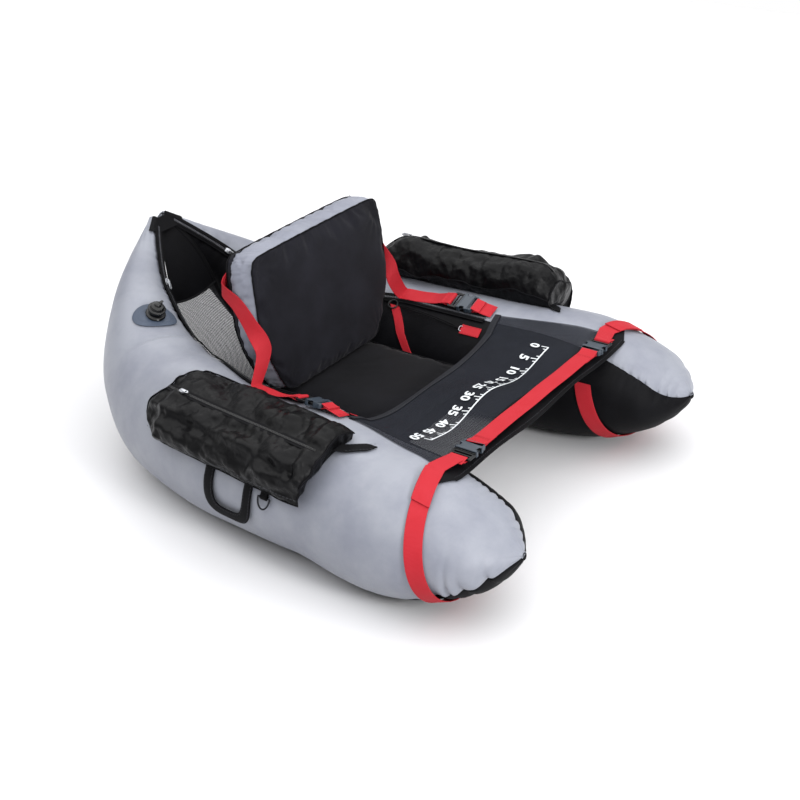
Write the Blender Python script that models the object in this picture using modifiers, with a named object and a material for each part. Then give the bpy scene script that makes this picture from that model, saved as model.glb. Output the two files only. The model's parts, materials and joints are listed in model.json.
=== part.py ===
"""Float tube: two upswept air tubes joined at the stern, with a hung seat, a folding backrest,
a mesh apron on buckled webbing, side bags, valves and carry handles.

Run it with blender --background --python part.py, or from the text editor.
+Z is up, the open front faces -Y, the stern points to +Y, and x = 0 is the plane of symmetry.
The origin is on the floor under the middle of the hull.  Lengths are metres, angles degrees.
Left and right are the seated angler's, so the left side is +X.
"""
import math

import bmesh
import bpy
from mathutils import Matrix, Vector

NAME = "float_tube"
SIDES = {"left": 1, "right": -1}

# Clearances
GAP = 0.0003
SEAM_GAP = 0.0003
CUT_OVERRUN = 0.004
WELD_REACH = 0.00001
SMOOTH_ANGLE = 35
# Steps for directions on the tubes: shares of the path, and degrees
PATH_STEP_SHARE = 0.001
FRAME_REACH_SHARE = 0.02
FRAME_TURN = 4

# Hull: overall sizes and the fabric
HULL_LENGTH = 1.22
TUBE_SPACING = 0.772
TUBE_WIDTH = 0.328
TUBE_HEIGHT = 0.296
STERN_RISE = 0.441
FLOOR_SETTLE = 0.002
STERN_LEAN = 0.0043
COVER_THICKNESS = 0.0012
RING_COUNT = 22
UPPER_STEPS = 11
LOWER_STEPS = 7
KEEL_STEPS = 2
KEEL_HALF_ANGLE = 8
TIP_CORE_SHARE = 0.2

# Stations from the stern tip to the nose, as shares: of the path, of the length,
# of half the spacing, of the rise, of half the width and of half the height
STATION_SHARES = (
    (0.00, 0.000, 0.040, 1.000, 0.070, 0.095),
    (0.07, 0.060, 0.381, 0.528, 0.433, 0.500),
    (0.17, 0.153, 0.624, 0.152, 0.744, 0.845),
    (0.30, 0.262, 0.772, 0.000, 0.872, 1.000),
    (0.45, 0.442, 0.899, 0.000, 0.915, 0.953),
    (0.60, 0.604, 0.912, 0.000, 1.000, 0.966),
    (0.76, 0.773, 0.987, 0.000, 1.000, 0.950),
    (0.91, 0.932, 1.000, 0.147, 0.750, 0.560),
    (1.00, 1.000, 0.992, 0.347, 0.060, 0.060),
)
# Seams at the same stations: 0 is outward, 90 up, 180 inward, 270 down
INNER_SEAM_ANGLES = (150, 152, 146, 130, 118, 118, 124, 140, 176)
OUTER_SEAM_ANGLES = (300, 300, 300, 300, 300, 300, 304, 326, 350)

# Main zip along the inner seam
ZIP_WIDTH = 0.024
ZIP_CHAIN_WIDTH = 0.006
ZIP_CHAIN_FOOT_WIDTH = 0.009
ZIP_TAPE = 0.0012
ZIP_CHAIN = 0.003
ZIP_LIFT = 0.0006
ZIP_START_SHARE = 0.035
ZIP_END_SHARE = 0.60
SLIDER_LENGTH = 0.016
SLIDER_WIDTH = 0.012
SLIDER_HEIGHT = 0.007
SLIDER_BEVEL = 0.0006
PULL_LENGTH = 0.022
PULL_WIDTH = 0.008
PULL_THICKNESS = 0.002
SLIDER_PLACE_SHARE = 0.055

# Stern: patch over the horn tips and the cargo net
PATCH_THICKNESS = 0.0015
PATCH_LIFT = 0.0009
STERN_PATCH_SHARE = 0.02
STERN_PATCH_ROWS = 4
STERN_PATCH_COLUMNS = 6
STERN_PATCH_OUTER_ANGLE = 95
STERN_PATCH_INNER_ANGLE = 150
NET_THICKNESS = 0.001
NET_FIRST_SHARE = 0.03
NET_LAST_SHARE = 0.33
NET_SAG = 0.012
NET_SCALLOP = 0.012
NET_COLUMNS = 7
NET_ANGLES = (230, 230, 222, 210, 204)

# Valve on each horn
VALVE_PLACE_SHARE = 0.107
VALVE_ANGLE = 101
VALVE_PATCH_HALF_LENGTH = 0.052
VALVE_PATCH_HALF_WIDTH = 0.037
VALVE_PATCH_STEPS = 20
VALVE_STEM_RADIUS = 0.012
VALVE_SEAT_LIFT = 0.0006
VALVE_HOLE_MARGIN = 0.003
VALVE_FLANGE_RADIUS = 0.023
VALVE_FLANGE = 0.004
VALVE_COLLAR_RADIUS = 0.018
VALVE_COLLAR = 0.011
VALVE_CAP_RADIUS = 0.0205
VALVE_CAP_RIM = 0.0035
VALVE_CAP_TOP_RADIUS = 0.0155
VALVE_CAP_TOP = 0.008
VALVE_KNOB_RADIUS = 0.0075
VALVE_KNOB = 0.006
VALVE_ROUNDING = 0.0015
TURN_STEPS = 20

# Seat base and seat cushion
BASE_THICKNESS = 0.002
BASE_FIRST_SHARE = 0.33
BASE_LAST_SHARE = 0.62
BASE_FACET = 3
BASE_SAG = 0.006
BASE_COLUMNS = 7
SEAT_WIDTH = 0.352
SEAT_DEPTH = 0.34
SEAT_BACK_PLACE = 0.175
SEAT_EDGE = 0.050
SEAT_CROWN = 0.014
SEAT_DRAW = 0.010
SEAT_CORNER = 0.045
SEAT_STEPS = 32
# Rings of the cushion: shares of its outline under it, of its edge up its side, of its outline on top
SEAT_FOOT_SHARES = (0.5, 0.93)
SEAT_SIDE_SHARES = (0.3, 0.75)
SEAT_TOP_SHARES = (0.965, 0.75, 0.35)

# Backrest, measured along its own slope
BACK_LEAN = 7.7
BACK_HINGE_Y = 0.092
BACK_HINGE_CLEARANCE = 0.004
BACK_HEIGHT = 0.325
BACK_WIDTH = 0.47
BACK_THICKNESS = 0.072
BACK_SKIN = 0.002
BACK_CROWN = 0.016
BACK_REAR_CROWN = 0.006
BACK_BORDER_BULGE = 0.004
# Rings of its faces, as shares of the way out to the border
BACK_FRONT_RING_SHARES = (0.3, 0.65, 0.9, 1)
BACK_REAR_RING_SHARES = (0.6, 1)
# Outline from the middle of the foot round to the middle of the top: shares of half the
# width and of the height
BACK_OUTLINE_SHARES = (
    (0.00, 0.000),
    (0.33, 0.000),
    (0.62, 0.006),
    (0.73, 0.035),
    (0.80, 0.110),
    (0.885, 0.240),
    (0.965, 0.400),
    (0.995, 0.560),
    (0.985, 0.740),
    (0.955, 0.880),
    (0.900, 0.960),
    (0.800, 0.993),
    (0.45, 1.000),
    (0.00, 1.000),
)

# Webbing and buckles
WEB_WIDTH = 0.038
WEB_THICKNESS = 0.0016
SOCKET_LENGTH = 0.038
SOCKET_WIDTH = 0.050
SOCKET_HEIGHT = 0.013
SOCKET_WALL = 0.0022
SOCKET_DEPTH = 0.026
SOCKET_SLOT = 0.006
SOCKET_BAR = 0.003
WINDOW_START = 0.007
WINDOW_LENGTH = 0.013
WINDOW_DEPTH = 0.0065
PLUG_BASE = 0.026
PLUG_THICKNESS = 0.005
PLUG_SLOT = 0.006
PLUG_BAR = 0.0035
PLUG_REACH = 0.024
PRONG_WIDTH = 0.0055
PRONG_WAIST = 0.003
BARB_LENGTH = 0.010
TONGUE_WIDTH = 0.006
FIT_CLEARANCE = 0.0006

# Apron between the tubes; its edges lie on the tubes' inner shoulders
APRON_FIRST_SHARE = 0.612
APRON_LAST_SHARE = 0.825
APRON_ROWS = 9
APRON_SPAN_COLUMNS = 14
APRON_EDGE_COLUMNS = 2
APRON_THICKNESS = 0.001
APRON_EDGE_ANGLES = (111, 100)
APRON_LEAVE_ANGLES = (132, 108)
APRON_LIFT = 0.0012
APRON_SAG = 0.003
APRON_HEM_SAG = 0.022
APRON_WAVE = 0.016
APRON_WAVES = 2
APRON_CREST_SHARE = 0.15
HEM_WIDTH = 0.012
HEM_THICKNESS = 0.0016
BINDING_WIDTH = 0.062
BINDING_THICKNESS = 0.0014
CORNER_ANGLE = 84
CORNER_COLUMNS = 2
CORNER_TIP_SHARE = 0.4
FRONT_STRAP_HALF = 0.243
FRONT_STRAP_STEPS = 12
FRONT_STRAP_RISE = 0.0055

# Wrap straps round the tubes
WRAP_TOP_SHARE = 0.812
WRAP_LOW_SHARE = 0.868
WRAP_TOP_ANGLE = 98
WRAP_END_ANGLE = -205
WRAP_STEPS = 36
WRAP_LIFT = 0.0012
WRAP_FALL = 20

# Back straps: buckle place on the tube, and the strap's way up to the backrest
BACK_BUCKLE_SHARE = 0.545
BACK_BUCKLE_ANGLE = 109
BACK_BUCKLE_LIFT = 0.006
BACK_ANCHOR_LENGTH = 0.042
BACK_STRAP_ANGLES = (110, 112, 113)
BACK_STRAP_LIFT = 0.0049
BACK_END_LIFT = 0.0034
BACK_STRAP_SHARES = (0.485, 0.455, 0.425)
BACK_STRAP_CLEARANCE = 0.005
BACK_WRAP_SLANT = 50
# Beside the backrest: shares of its height and thickness, and of the turn to the slant
BACK_STRAP_SIDE_SHARES = ((0.40, -0.10, 0.4), (0.56, 0.25, 0.8), (0.70, 0.65, 1.0))
# Round its rear edge: shares of its width and height, and of the way on to the rear panel
BACK_STRAP_REAR_SHARES = ((0.0, 0.80, 0.0), (0.13, 0.89, 1.0))
BACK_REAR_STRAP_SHARE = 0.55

# Seat straps down the inner walls, rings, elastic cords and apron tabs
SEAT_STRAP_WIDTH = 0.025
SEAT_STRAP_TOP_SHARE = 0.415
SEAT_STRAP_FOOT_SHARE = 0.475
SEAT_STRAP_TOP_ANGLE = 127
SEAT_STRAP_FOOT_ANGLE = 168
SEAT_STRAP_STEPS = 6
RING_RADIUS = 0.011
RING_WIRE = 0.002
RING_STEPS = 16
CORD_RADIUS = 0.0015
CORD_SPACING = 0.007
CORD_SAG = 0.004
CORD_STEPS = 12
CORD_SPREAD_STEEPNESS = 8
TAB_LENGTH = 0.050
TAB_WIDTH = 0.024
TAB_PLACE_SHARE = 0.585
TAB_ANGLE = 133

# Side bags
BAG_FIRST_SHARE = 0.335
BAG_LAST_SHARES = {"right": 0.668, "left": 0.69}
BAG_ROWS = 11
BAG_FLOOR_STEPS = 8
BAG_FLOOR_ANGLES = (86, 23)
BAG_END_DRAW_SHARE = 0.55
BAG_END_RUN_SHARE = 0.12
BAG_LIFT = 0.0012
BAG_ZIP_COLUMN = 3
# Places round the upper skin, from the inner edge to the outer lower edge, as
# (out, up) from the tube's centre line
BAG_SKINS = {
    "right": ((0.004, 0.154), (0.030, 0.165), (0.075, 0.168), (0.125, 0.152), (0.168, 0.124),
              (0.180, 0.096), (0.166, 0.064)),
    "left": ((-0.002, 0.170), (0.012, 0.212), (0.055, 0.234), (0.105, 0.215), (0.155, 0.165),
             (0.178, 0.108), (0.166, 0.064)),
}
BAG_SLIDER_REST_SHARE = 0.16
BAG_SLIDER_LENGTH = 0.014
BAG_SLIDER_WIDTH = 0.010
BAG_SLIDER_HEIGHT = 0.005

# Carry handles and D-rings on the outer sides
HANDLE_SHARES = (0.455, 0.552)
HANDLE_ANGLES = (21, -17)
HANDLE_WIDTH = 0.022
HANDLE_THICKNESS = 0.003
HANDLE_LIFT = 0.0008
HANDLE_BELLY = 0.006
HANDLE_STEPS = 14
HANDLE_ROUNDNESS = 0.5
KEEPER_SHARE = 0.582
KEEPER_ANGLE = 17.5
KEEPER_LENGTH = 0.018
KEEPER_HEIGHT = 0.022
KEEPER_THICKNESS = 0.008
KEEPER_BORE_DROP = 0.0055
KEEPER_BORE_STEPS = 12
DRING_WIRE = 0.0018
DRING_WIDTH = 0.030
DRING_HEIGHT = 0.024
DRING_STEPS = 12
DRING_BAR_SHARES = (-0.5, 0, 0.5)
DRING_CLEARANCE = 0.0006

FINISHES = {
    "hull_nylon": ("B9BAC4", 0.55, 0.0),
    "black_nylon": ("17171B", 0.70, 0.0),
    "black_net": ("202024", 0.80, 0.0),
    "red_webbing": ("D22A2E", 0.65, 0.0),
    "black_webbing": ("121214", 0.75, 0.0),
    "zinc": ("8E8E90", 0.35, 1.0),
    "valve_patch": ("4E5766", 0.50, 0.0),
    "black_plastic": ("141417", 0.35, 0.0),
    "buckle_plastic": ("2B3138", 0.40, 0.0),
    "bladder_film": ("6E6E72", 0.35, 0.0),
    "foam": ("3A3A3C", 0.90, 0.0),
    "grey_hem": ("8B8B90", 0.70, 0.0),
}


# Materials and collections

def linear(code):
    """Turn an sRGB hex colour into linear values."""
    channels = [int(code[k:k + 2], 16) / 255 for k in (0, 2, 4)]
    return [c / 12.92 if c <= 0.04045 else ((c + 0.055) / 1.055) ** 2.4 for c in channels]


def finish(name):
    """Return the named finish as a material, making it once."""
    material = bpy.data.materials.get(name)
    if material:
        return material
    code, roughness, metallic = FINISHES[name]
    material = bpy.data.materials.new(name)
    material.use_nodes = True
    shader = material.node_tree.nodes["Principled BSDF"]
    shader.inputs["Base Color"].default_value = (*linear(code), 1.0)
    shader.inputs["Roughness"].default_value = roughness
    shader.inputs["Metallic"].default_value = metallic
    return material


def collection(name):
    """Return the named collection, linked to the scene."""
    found = bpy.data.collections.get(name)
    if not found:
        found = bpy.data.collections.new(name)
        bpy.context.scene.collection.children.link(found)
    return found


def add_object(name, data, material, origin=None, parent=None):
    """Put mesh or curve data into the part's collection, with its origin where asked."""
    item = bpy.data.objects.new(name, data)
    collection(NAME).objects.link(item)
    data.materials.append(finish(material))
    if origin is not None:
        item.location = origin
    if parent is not None:
        item.parent = parent
    return item


def mesh_from(name, bm, origin=None):
    """Turn a closed bmesh into smooth-shaded mesh data, measured from the origin given."""
    if origin is not None:
        bmesh.ops.translate(bm, verts=bm.verts, vec=-Vector(origin))
    bmesh.ops.recalc_face_normals(bm, faces=bm.faces)
    mesh = bpy.data.meshes.new(name)
    bm.to_mesh(mesh)
    bm.free()
    mesh.shade_smooth()
    mesh.set_sharp_from_angle(angle=math.radians(SMOOTH_ANGLE))
    return mesh


# Builders for sheets, lofts and small hardware

def slab(under, over, wrap=False):
    """Close two equal grids of points into one solid; wrap joins the last row to the first."""
    bm = bmesh.new()
    low = [[bm.verts.new(p) for p in row] for row in under]
    high = [[bm.verts.new(p) for p in row] for row in over]
    rows = len(low)
    columns = len(low[0])
    for i in range(rows if wrap else rows - 1):
        k = (i + 1) % rows
        for j in range(columns - 1):
            bm.faces.new((low[i][j], low[k][j], low[k][j + 1], low[i][j + 1]))
            bm.faces.new((high[i][j], high[i][j + 1], high[k][j + 1], high[k][j]))
        for j in (0, columns - 1):
            bm.faces.new((low[i][j], high[i][j], high[k][j], low[k][j]))
    if not wrap:
        for i in (0, rows - 1):
            for j in range(columns - 1):
                bm.faces.new((low[i][j], low[i][j + 1], high[i][j + 1], high[i][j]))
    return bm


def loft(rings):
    """Join closed rings of equal count into one solid, each end closed by a fan."""
    bm = bmesh.new()
    loops = [[bm.verts.new(p) for p in ring] for ring in rings]
    count = len(loops[0])
    for first, second in zip(loops, loops[1:]):
        for j in range(count):
            k = (j + 1) % count
            bm.faces.new((first[j], first[k], second[k], second[j]))
    for loop in (loops[0], loops[-1]):
        centre = bm.verts.new(sum((v.co for v in loop), Vector()) / count)
        for j in range(count):
            bm.faces.new((loop[j], loop[(j + 1) % count], centre))
    return bm


def ribbon(centres, across, width, thickness, wrap=False):
    """A flat strap along centre points, each with its own direction across the width."""
    count = len(centres)
    under = []
    over = []
    for k, (centre, side) in enumerate(zip(centres, across)):
        ahead = centres[(k + 1) % count] if wrap else centres[min(k + 1, count - 1)]
        behind = centres[k - 1] if wrap else centres[max(k - 1, 0)]
        normal = (ahead - behind).cross(side).normalized()
        half = side.normalized() * width / 2
        lift = normal * thickness / 2
        under.append([centre - half - lift, centre + half - lift])
        over.append([centre - half + lift, centre + half + lift])
    return slab(under, over, wrap)


def box(size, centre=(0, 0, 0)):
    """A box of the given size about a centre, as a bmesh."""
    bm = bmesh.new()
    bmesh.ops.create_cube(bm, size=1.0, matrix=Matrix.Translation(centre) @ Matrix.Diagonal((*size, 1)))
    return bm


def add_bevel(item, width, segments=1):
    """Round the item's sharp edges."""
    bevel = item.modifiers.new("edges", "BEVEL")
    bevel.width = width
    bevel.segments = segments
    bevel.limit_method = "ANGLE"
    bevel.harden_normals = False


def combine(item, bm, operation, label):
    """Cut or join a helper shape, given in the item's own axes, with a Boolean."""
    mesh = bpy.data.meshes.new(f"{item.name}_{label}")
    bmesh.ops.recalc_face_normals(bm, faces=bm.faces)
    bm.to_mesh(mesh)
    bm.free()
    helper = bpy.data.objects.new(f"{item.name}_{label}", mesh)
    collection("cutters").objects.link(helper)
    helper.parent = item
    helper.hide_render = True
    helper.display_type = "WIRE"
    modifier = item.modifiers.new(label, "BOOLEAN")
    modifier.operation = operation
    modifier.object = helper


def turned(name, profile, material, frame):
    """A turned solid from (radius, height) points that run down its outer side."""
    mesh = bpy.data.meshes.new(name)
    points = [(radius, 0, height) for radius, height in profile]
    edges = [(k, k + 1) for k in range(len(points) - 1)]
    mesh.from_pydata(points, edges, [])
    item = add_object(name, mesh, material)
    item.matrix_world = frame
    screw = item.modifiers.new("turn", "SCREW")
    screw.steps = TURN_STEPS
    screw.render_steps = TURN_STEPS
    screw.use_merge_vertices = True
    screw.merge_threshold = WELD_REACH
    screw.use_smooth_shade = False
    return item


def wire(name, points, radius, material, cyclic=False, resolution=1, origin=None):
    """A round wire or cord through the points."""
    base = Vector(origin) if origin is not None else Vector()
    data = bpy.data.curves.new(name, "CURVE")
    data.dimensions = "3D"
    data.bevel_depth = radius
    data.bevel_resolution = resolution
    data.use_fill_caps = True
    spline = data.splines.new("POLY")
    spline.points.add(len(points) - 1)
    for slot, point in zip(spline.points, points):
        slot.co = (*(Vector(point) - base), 1)
    spline.use_cyclic_u = cyclic
    return add_object(name, data, material, origin)


# The tubes' shape

class Curve:
    """A smooth curve through values at given places, which never overshoots them."""

    def __init__(self, places, values):
        self.places = places
        self.values = values
        runs = [b - a for a, b in zip(places, places[1:])]
        rates = [(b - a) / run for a, b, run in zip(values, values[1:], runs)]
        slopes = [self.end_slope(runs[0], runs[1], rates[0], rates[1])]
        for k in range(1, len(runs)):
            if rates[k - 1] * rates[k] <= 0:
                slopes.append(0.0)
                continue
            near = 2 * runs[k] + runs[k - 1]
            far = runs[k] + 2 * runs[k - 1]
            slopes.append((near + far) / (near / rates[k - 1] + far / rates[k]))
        slopes.append(self.end_slope(runs[-1], runs[-2], rates[-1], rates[-2]))
        self.slopes = slopes

    @staticmethod
    def end_slope(run, next_run, rate, next_rate):
        """Slope at an end, from the two stretches next to it."""
        slope = ((2 * run + next_run) * rate - run * next_rate) / (run + next_run)
        if slope * rate <= 0:
            return 0.0
        if rate * next_rate < 0 and abs(slope) > 3 * abs(rate):
            return 3 * rate
        return slope

    def at(self, place):
        """Value at a place, which is held within the curve's ends."""
        place = min(max(place, self.places[0]), self.places[-1])
        k = 0
        while place > self.places[k + 1]:
            k += 1
        run = self.places[k + 1] - self.places[k]
        t = (place - self.places[k]) / run
        return ((1 + 2 * t) * (1 - t) ** 2 * self.values[k]
                + t * (1 - t) ** 2 * run * self.slopes[k]
                + t * t * (3 - 2 * t) * self.values[k + 1]
                + t * t * (t - 1) * run * self.slopes[k + 1])


class Tube:
    """One air tube: its path from stern to nose, its oval section and its two seams."""

    def __init__(self, side):
        self.side = side
        path = [row[0] for row in STATION_SHARES]
        widths = [row[4] * TUBE_WIDTH / 2 for row in STATION_SHARES]
        heights = [row[5] * TUBE_HEIGHT / 2 for row in STATION_SHARES]
        xs = [row[2] * TUBE_SPACING / 2 for row in STATION_SHARES]
        xs[0] = widths[0] + SEAM_GAP
        ys = [HULL_LENGTH / 2 - STERN_LEAN - row[1] * HULL_LENGTH for row in STATION_SHARES]
        lifts = [row[3] * STERN_RISE - FLOOR_SETTLE for row in STATION_SHARES]
        zs = [height + lift for height, lift in zip(heights, lifts)]
        self.middle = [Curve(path, values) for values in (xs, ys, zs)]
        self.half_width = Curve(path, widths)
        self.half_height = Curve(path, heights)
        self.inner_seam = Curve(path, INNER_SEAM_ANGLES)
        self.outer_seam = Curve(path, OUTER_SEAM_ANGLES)
        self.places = [self.spread(k / RING_COUNT) for k in range(RING_COUNT + 1)]

    @staticmethod
    def spread(share):
        """Rings lie closer together towards both ends."""
        return (share + (1 - math.cos(math.pi * share)) / 2) / 2

    def centre(self, place):
        """Point on the tube's centre line."""
        x, y, z = (curve.at(place) for curve in self.middle)
        return Vector((x * self.side, y, z))

    def axes(self, place):
        """Forward, outward and upward directions of the section at a place."""
        step = PATH_STEP_SHARE
        forward = (self.centre(place + step) - self.centre(place - step)).normalized()
        outward = Vector((-forward.y, forward.x, 0)).normalized() * self.side
        up = forward.cross(outward).normalized()
        if up.z < 0:
            up.negate()
        return forward, outward, up

    def point(self, place, angle, lift=0.0, shrink=1.0):
        """Point on the section, raised by the lift; the foot is flat where it meets the floor."""
        _, outward, up = self.axes(place)
        turn = math.radians(angle)
        wide = self.half_width.at(place) * shrink + lift
        tall = self.half_height.at(place) * shrink + lift
        found = self.centre(place) + outward * wide * math.cos(turn) + up * tall * math.sin(turn)
        found.z = max(found.z, max(-lift, 0.0))
        return found

    def skin(self, place, angle, lift=0.0):
        """Point over the covers' facets, which run straight from ring to ring."""
        k = 0
        while k < len(self.places) - 2 and place > self.places[k + 1]:
            k += 1
        share = (place - self.places[k]) / (self.places[k + 1] - self.places[k])
        return self.point(self.places[k], angle, lift).lerp(
            self.point(self.places[k + 1], angle, lift), share)

    def radius(self, place):
        """Mean radius of the section."""
        return (self.half_width.at(place) + self.half_height.at(place)) / 2

    def turn_for(self, place, length):
        """Angle that an arc of the given length spans on the section."""
        return math.degrees(length / self.radius(place))

    def speed(self, place):
        """Metres of centre line for one unit of place."""
        step = PATH_STEP_SHARE
        return (self.centre(place + step) - self.centre(place - step)).length / (2 * step)

    def rings_between(self, first, last):
        """The ring places that lie between two shares of the path."""
        return [place for place in self.places if first <= place <= last]

    def seat_frame(self, place, angle, lift):
        """Frame on the skin: x along the tube to the nose, z along the skin's normal."""
        reach = FRAME_REACH_SHARE
        turn = FRAME_TURN
        forward = (self.skin(place + reach, angle) - self.skin(place - reach, angle)).normalized()
        around = self.skin(place, angle + turn) - self.skin(place, angle - turn)
        normal = around.cross(forward).normalized()
        if normal.dot(self.skin(place, angle) - self.centre(place)) < 0:
            normal.negate()
        across = normal.cross(forward).normalized()
        frame = Matrix((forward, across, normal)).transposed().to_4x4()
        frame.translation = self.skin(place, angle) + normal * lift
        return frame


TUBES = {name: Tube(side) for name, side in SIDES.items()}


def spaced(first, last, steps):
    """Evenly spaced values from first to last."""
    return [first + (last - first) * k / steps for k in range(steps + 1)]


def upper_angles(tube, place):
    """Angles of the grey cover's points, from the outer seam over the top to the inner seam."""
    margin = tube.turn_for(place, SEAM_GAP / 2)
    first = tube.outer_seam.at(place) - 360 + margin
    return spaced(first, tube.inner_seam.at(place) - margin, UPPER_STEPS)


def lower_angles(tube, place):
    """Angles of the black cover's points, from the inner seam under the keel to the outer seam."""
    margin = tube.turn_for(place, SEAM_GAP / 2)
    wall = spaced(tube.inner_seam.at(place) + margin, 270 - KEEL_HALF_ANGLE, LOWER_STEPS)
    bilge = spaced(270 + KEEL_HALF_ANGLE, tube.outer_seam.at(place) - margin, KEEL_STEPS)
    return wall + bilge


def build_cover(label, tube, name, angles, material):
    """One fabric shell of the hull; its ends close over the tips."""
    inner = []
    outer = []
    for k, place in enumerate(tube.places):
        at_tip = k in (0, len(tube.places) - 1)
        turns = angles(tube, place)
        outer.append([tube.point(place, turn) for turn in turns])
        if at_tip:
            inner.append([tube.point(place, turn, 0.0, TIP_CORE_SHARE) for turn in turns])
        else:
            inner.append([tube.point(place, turn, -COVER_THICKNESS) for turn in turns])
    mesh = mesh_from(name, slab(inner, outer))
    add_object(f"{label}_{name}", mesh, material)


def build_hull(label, tube):
    """Upper and lower covers, and the air bladder inside them."""
    build_cover(label, tube, "hull_cover_upper", upper_angles, "hull_nylon")
    build_cover(label, tube, "hull_cover_lower", lower_angles, "black_nylon")
    rings = []
    for place in tube.places[1:-1]:
        turns = upper_angles(tube, place) + lower_angles(tube, place)
        rings.append([tube.point(place, turn, -COVER_THICKNESS - GAP) for turn in turns])
    add_object(f"{label}_air_bladder", mesh_from("air_bladder", loft(rings)), "bladder_film")


def build_zip(label, tube):
    """Zip tape with its raised chain along the inner seam, and its slider at the stern."""
    profile = (
        (-ZIP_WIDTH / 2, ZIP_TAPE),
        (-ZIP_CHAIN_FOOT_WIDTH / 2, ZIP_TAPE),
        (-ZIP_CHAIN_WIDTH / 2, ZIP_CHAIN),
        (ZIP_CHAIN_WIDTH / 2, ZIP_CHAIN),
        (ZIP_CHAIN_FOOT_WIDTH / 2, ZIP_TAPE),
        (ZIP_WIDTH / 2, ZIP_TAPE),
    )
    under = []
    over = []
    for place in tube.rings_between(ZIP_START_SHARE, ZIP_END_SHARE):
        seam = tube.inner_seam.at(place)
        turns = [seam + tube.turn_for(place, across) for across, _ in profile]
        under.append([tube.point(place, turn, ZIP_LIFT) for turn in turns])
        over.append([tube.point(place, turn, ZIP_LIFT + height)
                     for turn, (_, height) in zip(turns, profile)])
    add_object(f"{label}_main_zip", mesh_from("main_zip", slab(under, over)), "black_webbing")

    lift = ZIP_LIFT + ZIP_CHAIN + GAP + SLIDER_HEIGHT / 2
    seam = tube.inner_seam.at(SLIDER_PLACE_SHARE)
    frame = tube.seat_frame(SLIDER_PLACE_SHARE, seam, lift)
    build_slider(f"{label}_main_zip_slider", frame, (SLIDER_LENGTH, SLIDER_WIDTH, SLIDER_HEIGHT))


def build_slider(name, frame, size):
    """A cast zip slider with its pull lying back over it."""
    length, _, height = size
    item = add_object(name, mesh_from(name, box(size)), "zinc")
    item.matrix_world = frame
    pull = (PULL_LENGTH, PULL_WIDTH, PULL_THICKNESS)
    place = (PULL_LENGTH / 2 - length / 2, 0, height / 2)
    combine(item, box(pull, place), "UNION", "pull")
    add_bevel(item, SLIDER_BEVEL)
    return item


def build_stern_patch():
    """Black patch that ties the two horn tips together."""
    under = []
    over = []
    columns = spaced(STERN_PATCH_OUTER_ANGLE, STERN_PATCH_INNER_ANGLE, STERN_PATCH_COLUMNS)
    for place in spaced(0.0, STERN_PATCH_SHARE, STERN_PATCH_ROWS):
        for rows, lift in ((under, PATCH_LIFT), (over, PATCH_LIFT + PATCH_THICKNESS)):
            left = [TUBES["left"].skin(place, turn, lift) for turn in columns]
            right = [TUBES["right"].skin(place, turn, lift) for turn in reversed(columns)]
            rows.append(left + right)
    add_object("stern_tip_patch", mesh_from("stern_tip_patch", slab(under, over)), "black_webbing")


def sheet_between(first, last, angle_at, lift_at, sag, columns, thickness):
    """A sheet held between the tubes' inner walls, sagging between them."""
    left = TUBES["left"]
    under = []
    over = []
    places = left.rings_between(first, last)
    for place in places:
        share = (place - places[0]) / (places[-1] - places[0])
        edge = left.point(place, angle_at(place, share), lift_at(share))
        row = []
        for across in spaced(-1, 1, columns - 1):
            drop = sag * (1 - across * across)
            row.append(Vector((edge.x * across, edge.y, edge.z - drop)))
        half = Vector((0, 0, thickness / 2))
        under.append([point - half for point in row])
        over.append([point + half for point in row])
    return slab(under, over)


def build_net():
    """Cargo net behind the backrest, with its free edges curved in."""
    angles = Curve(spaced(0, 1, len(NET_ANGLES) - 1), NET_ANGLES)

    def lift_at(share):
        return 2 * GAP + NET_SCALLOP * math.sin(math.pi * share)

    bm = sheet_between(NET_FIRST_SHARE, NET_LAST_SHARE, lambda place, share: angles.at(share),
                       lift_at, NET_SAG, NET_COLUMNS, NET_THICKNESS)
    add_object("stern_net", mesh_from("stern_net", bm), "black_net")


def build_seat_base():
    """Fabric panel between the inner walls, which carries the seat."""
    left = TUBES["left"]
    bm = sheet_between(BASE_FIRST_SHARE, BASE_LAST_SHARE,
                       lambda place, share: lower_angles(left, place)[BASE_FACET],
                       lambda share: 2 * GAP, BASE_SAG, BASE_COLUMNS, BASE_THICKNESS)
    add_object("seat_base", mesh_from("seat_base", bm), "black_nylon")


def seat_level():
    """Height of the seat base's upper face at its edge."""
    left = TUBES["left"]
    middle = (BASE_FIRST_SHARE + BASE_LAST_SHARE) / 2
    return left.point(middle, lower_angles(left, middle)[BASE_FACET]).z + BASE_THICKNESS / 2


def rounded_outline(half_x, half_y, corner, draw, steps):
    """Closed outline of a rectangle with round corners and sides drawn in between them."""
    points = []
    per_corner = steps // 4
    for quarter, (sx, sy) in enumerate(((1, 1), (-1, 1), (-1, -1), (1, -1))):
        for k in range(per_corner):
            turn = math.radians(90 * (quarter + k / (per_corner - 1)))
            x = sx * (half_x - corner) + corner * math.cos(turn)
            y = sy * (half_y - corner) + corner * math.sin(turn)
            points.append((x, y))
    drawn = []
    for x, y in points:
        pull_x = draw * (1 - (y / half_y) ** 2)
        pull_y = draw * (1 - (x / half_x) ** 2)
        drawn.append((x - math.copysign(pull_x, x) * (abs(x) / half_x) ** 2,
                      y - math.copysign(pull_y, y) * (abs(y) / half_y) ** 2))
    return drawn


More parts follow.
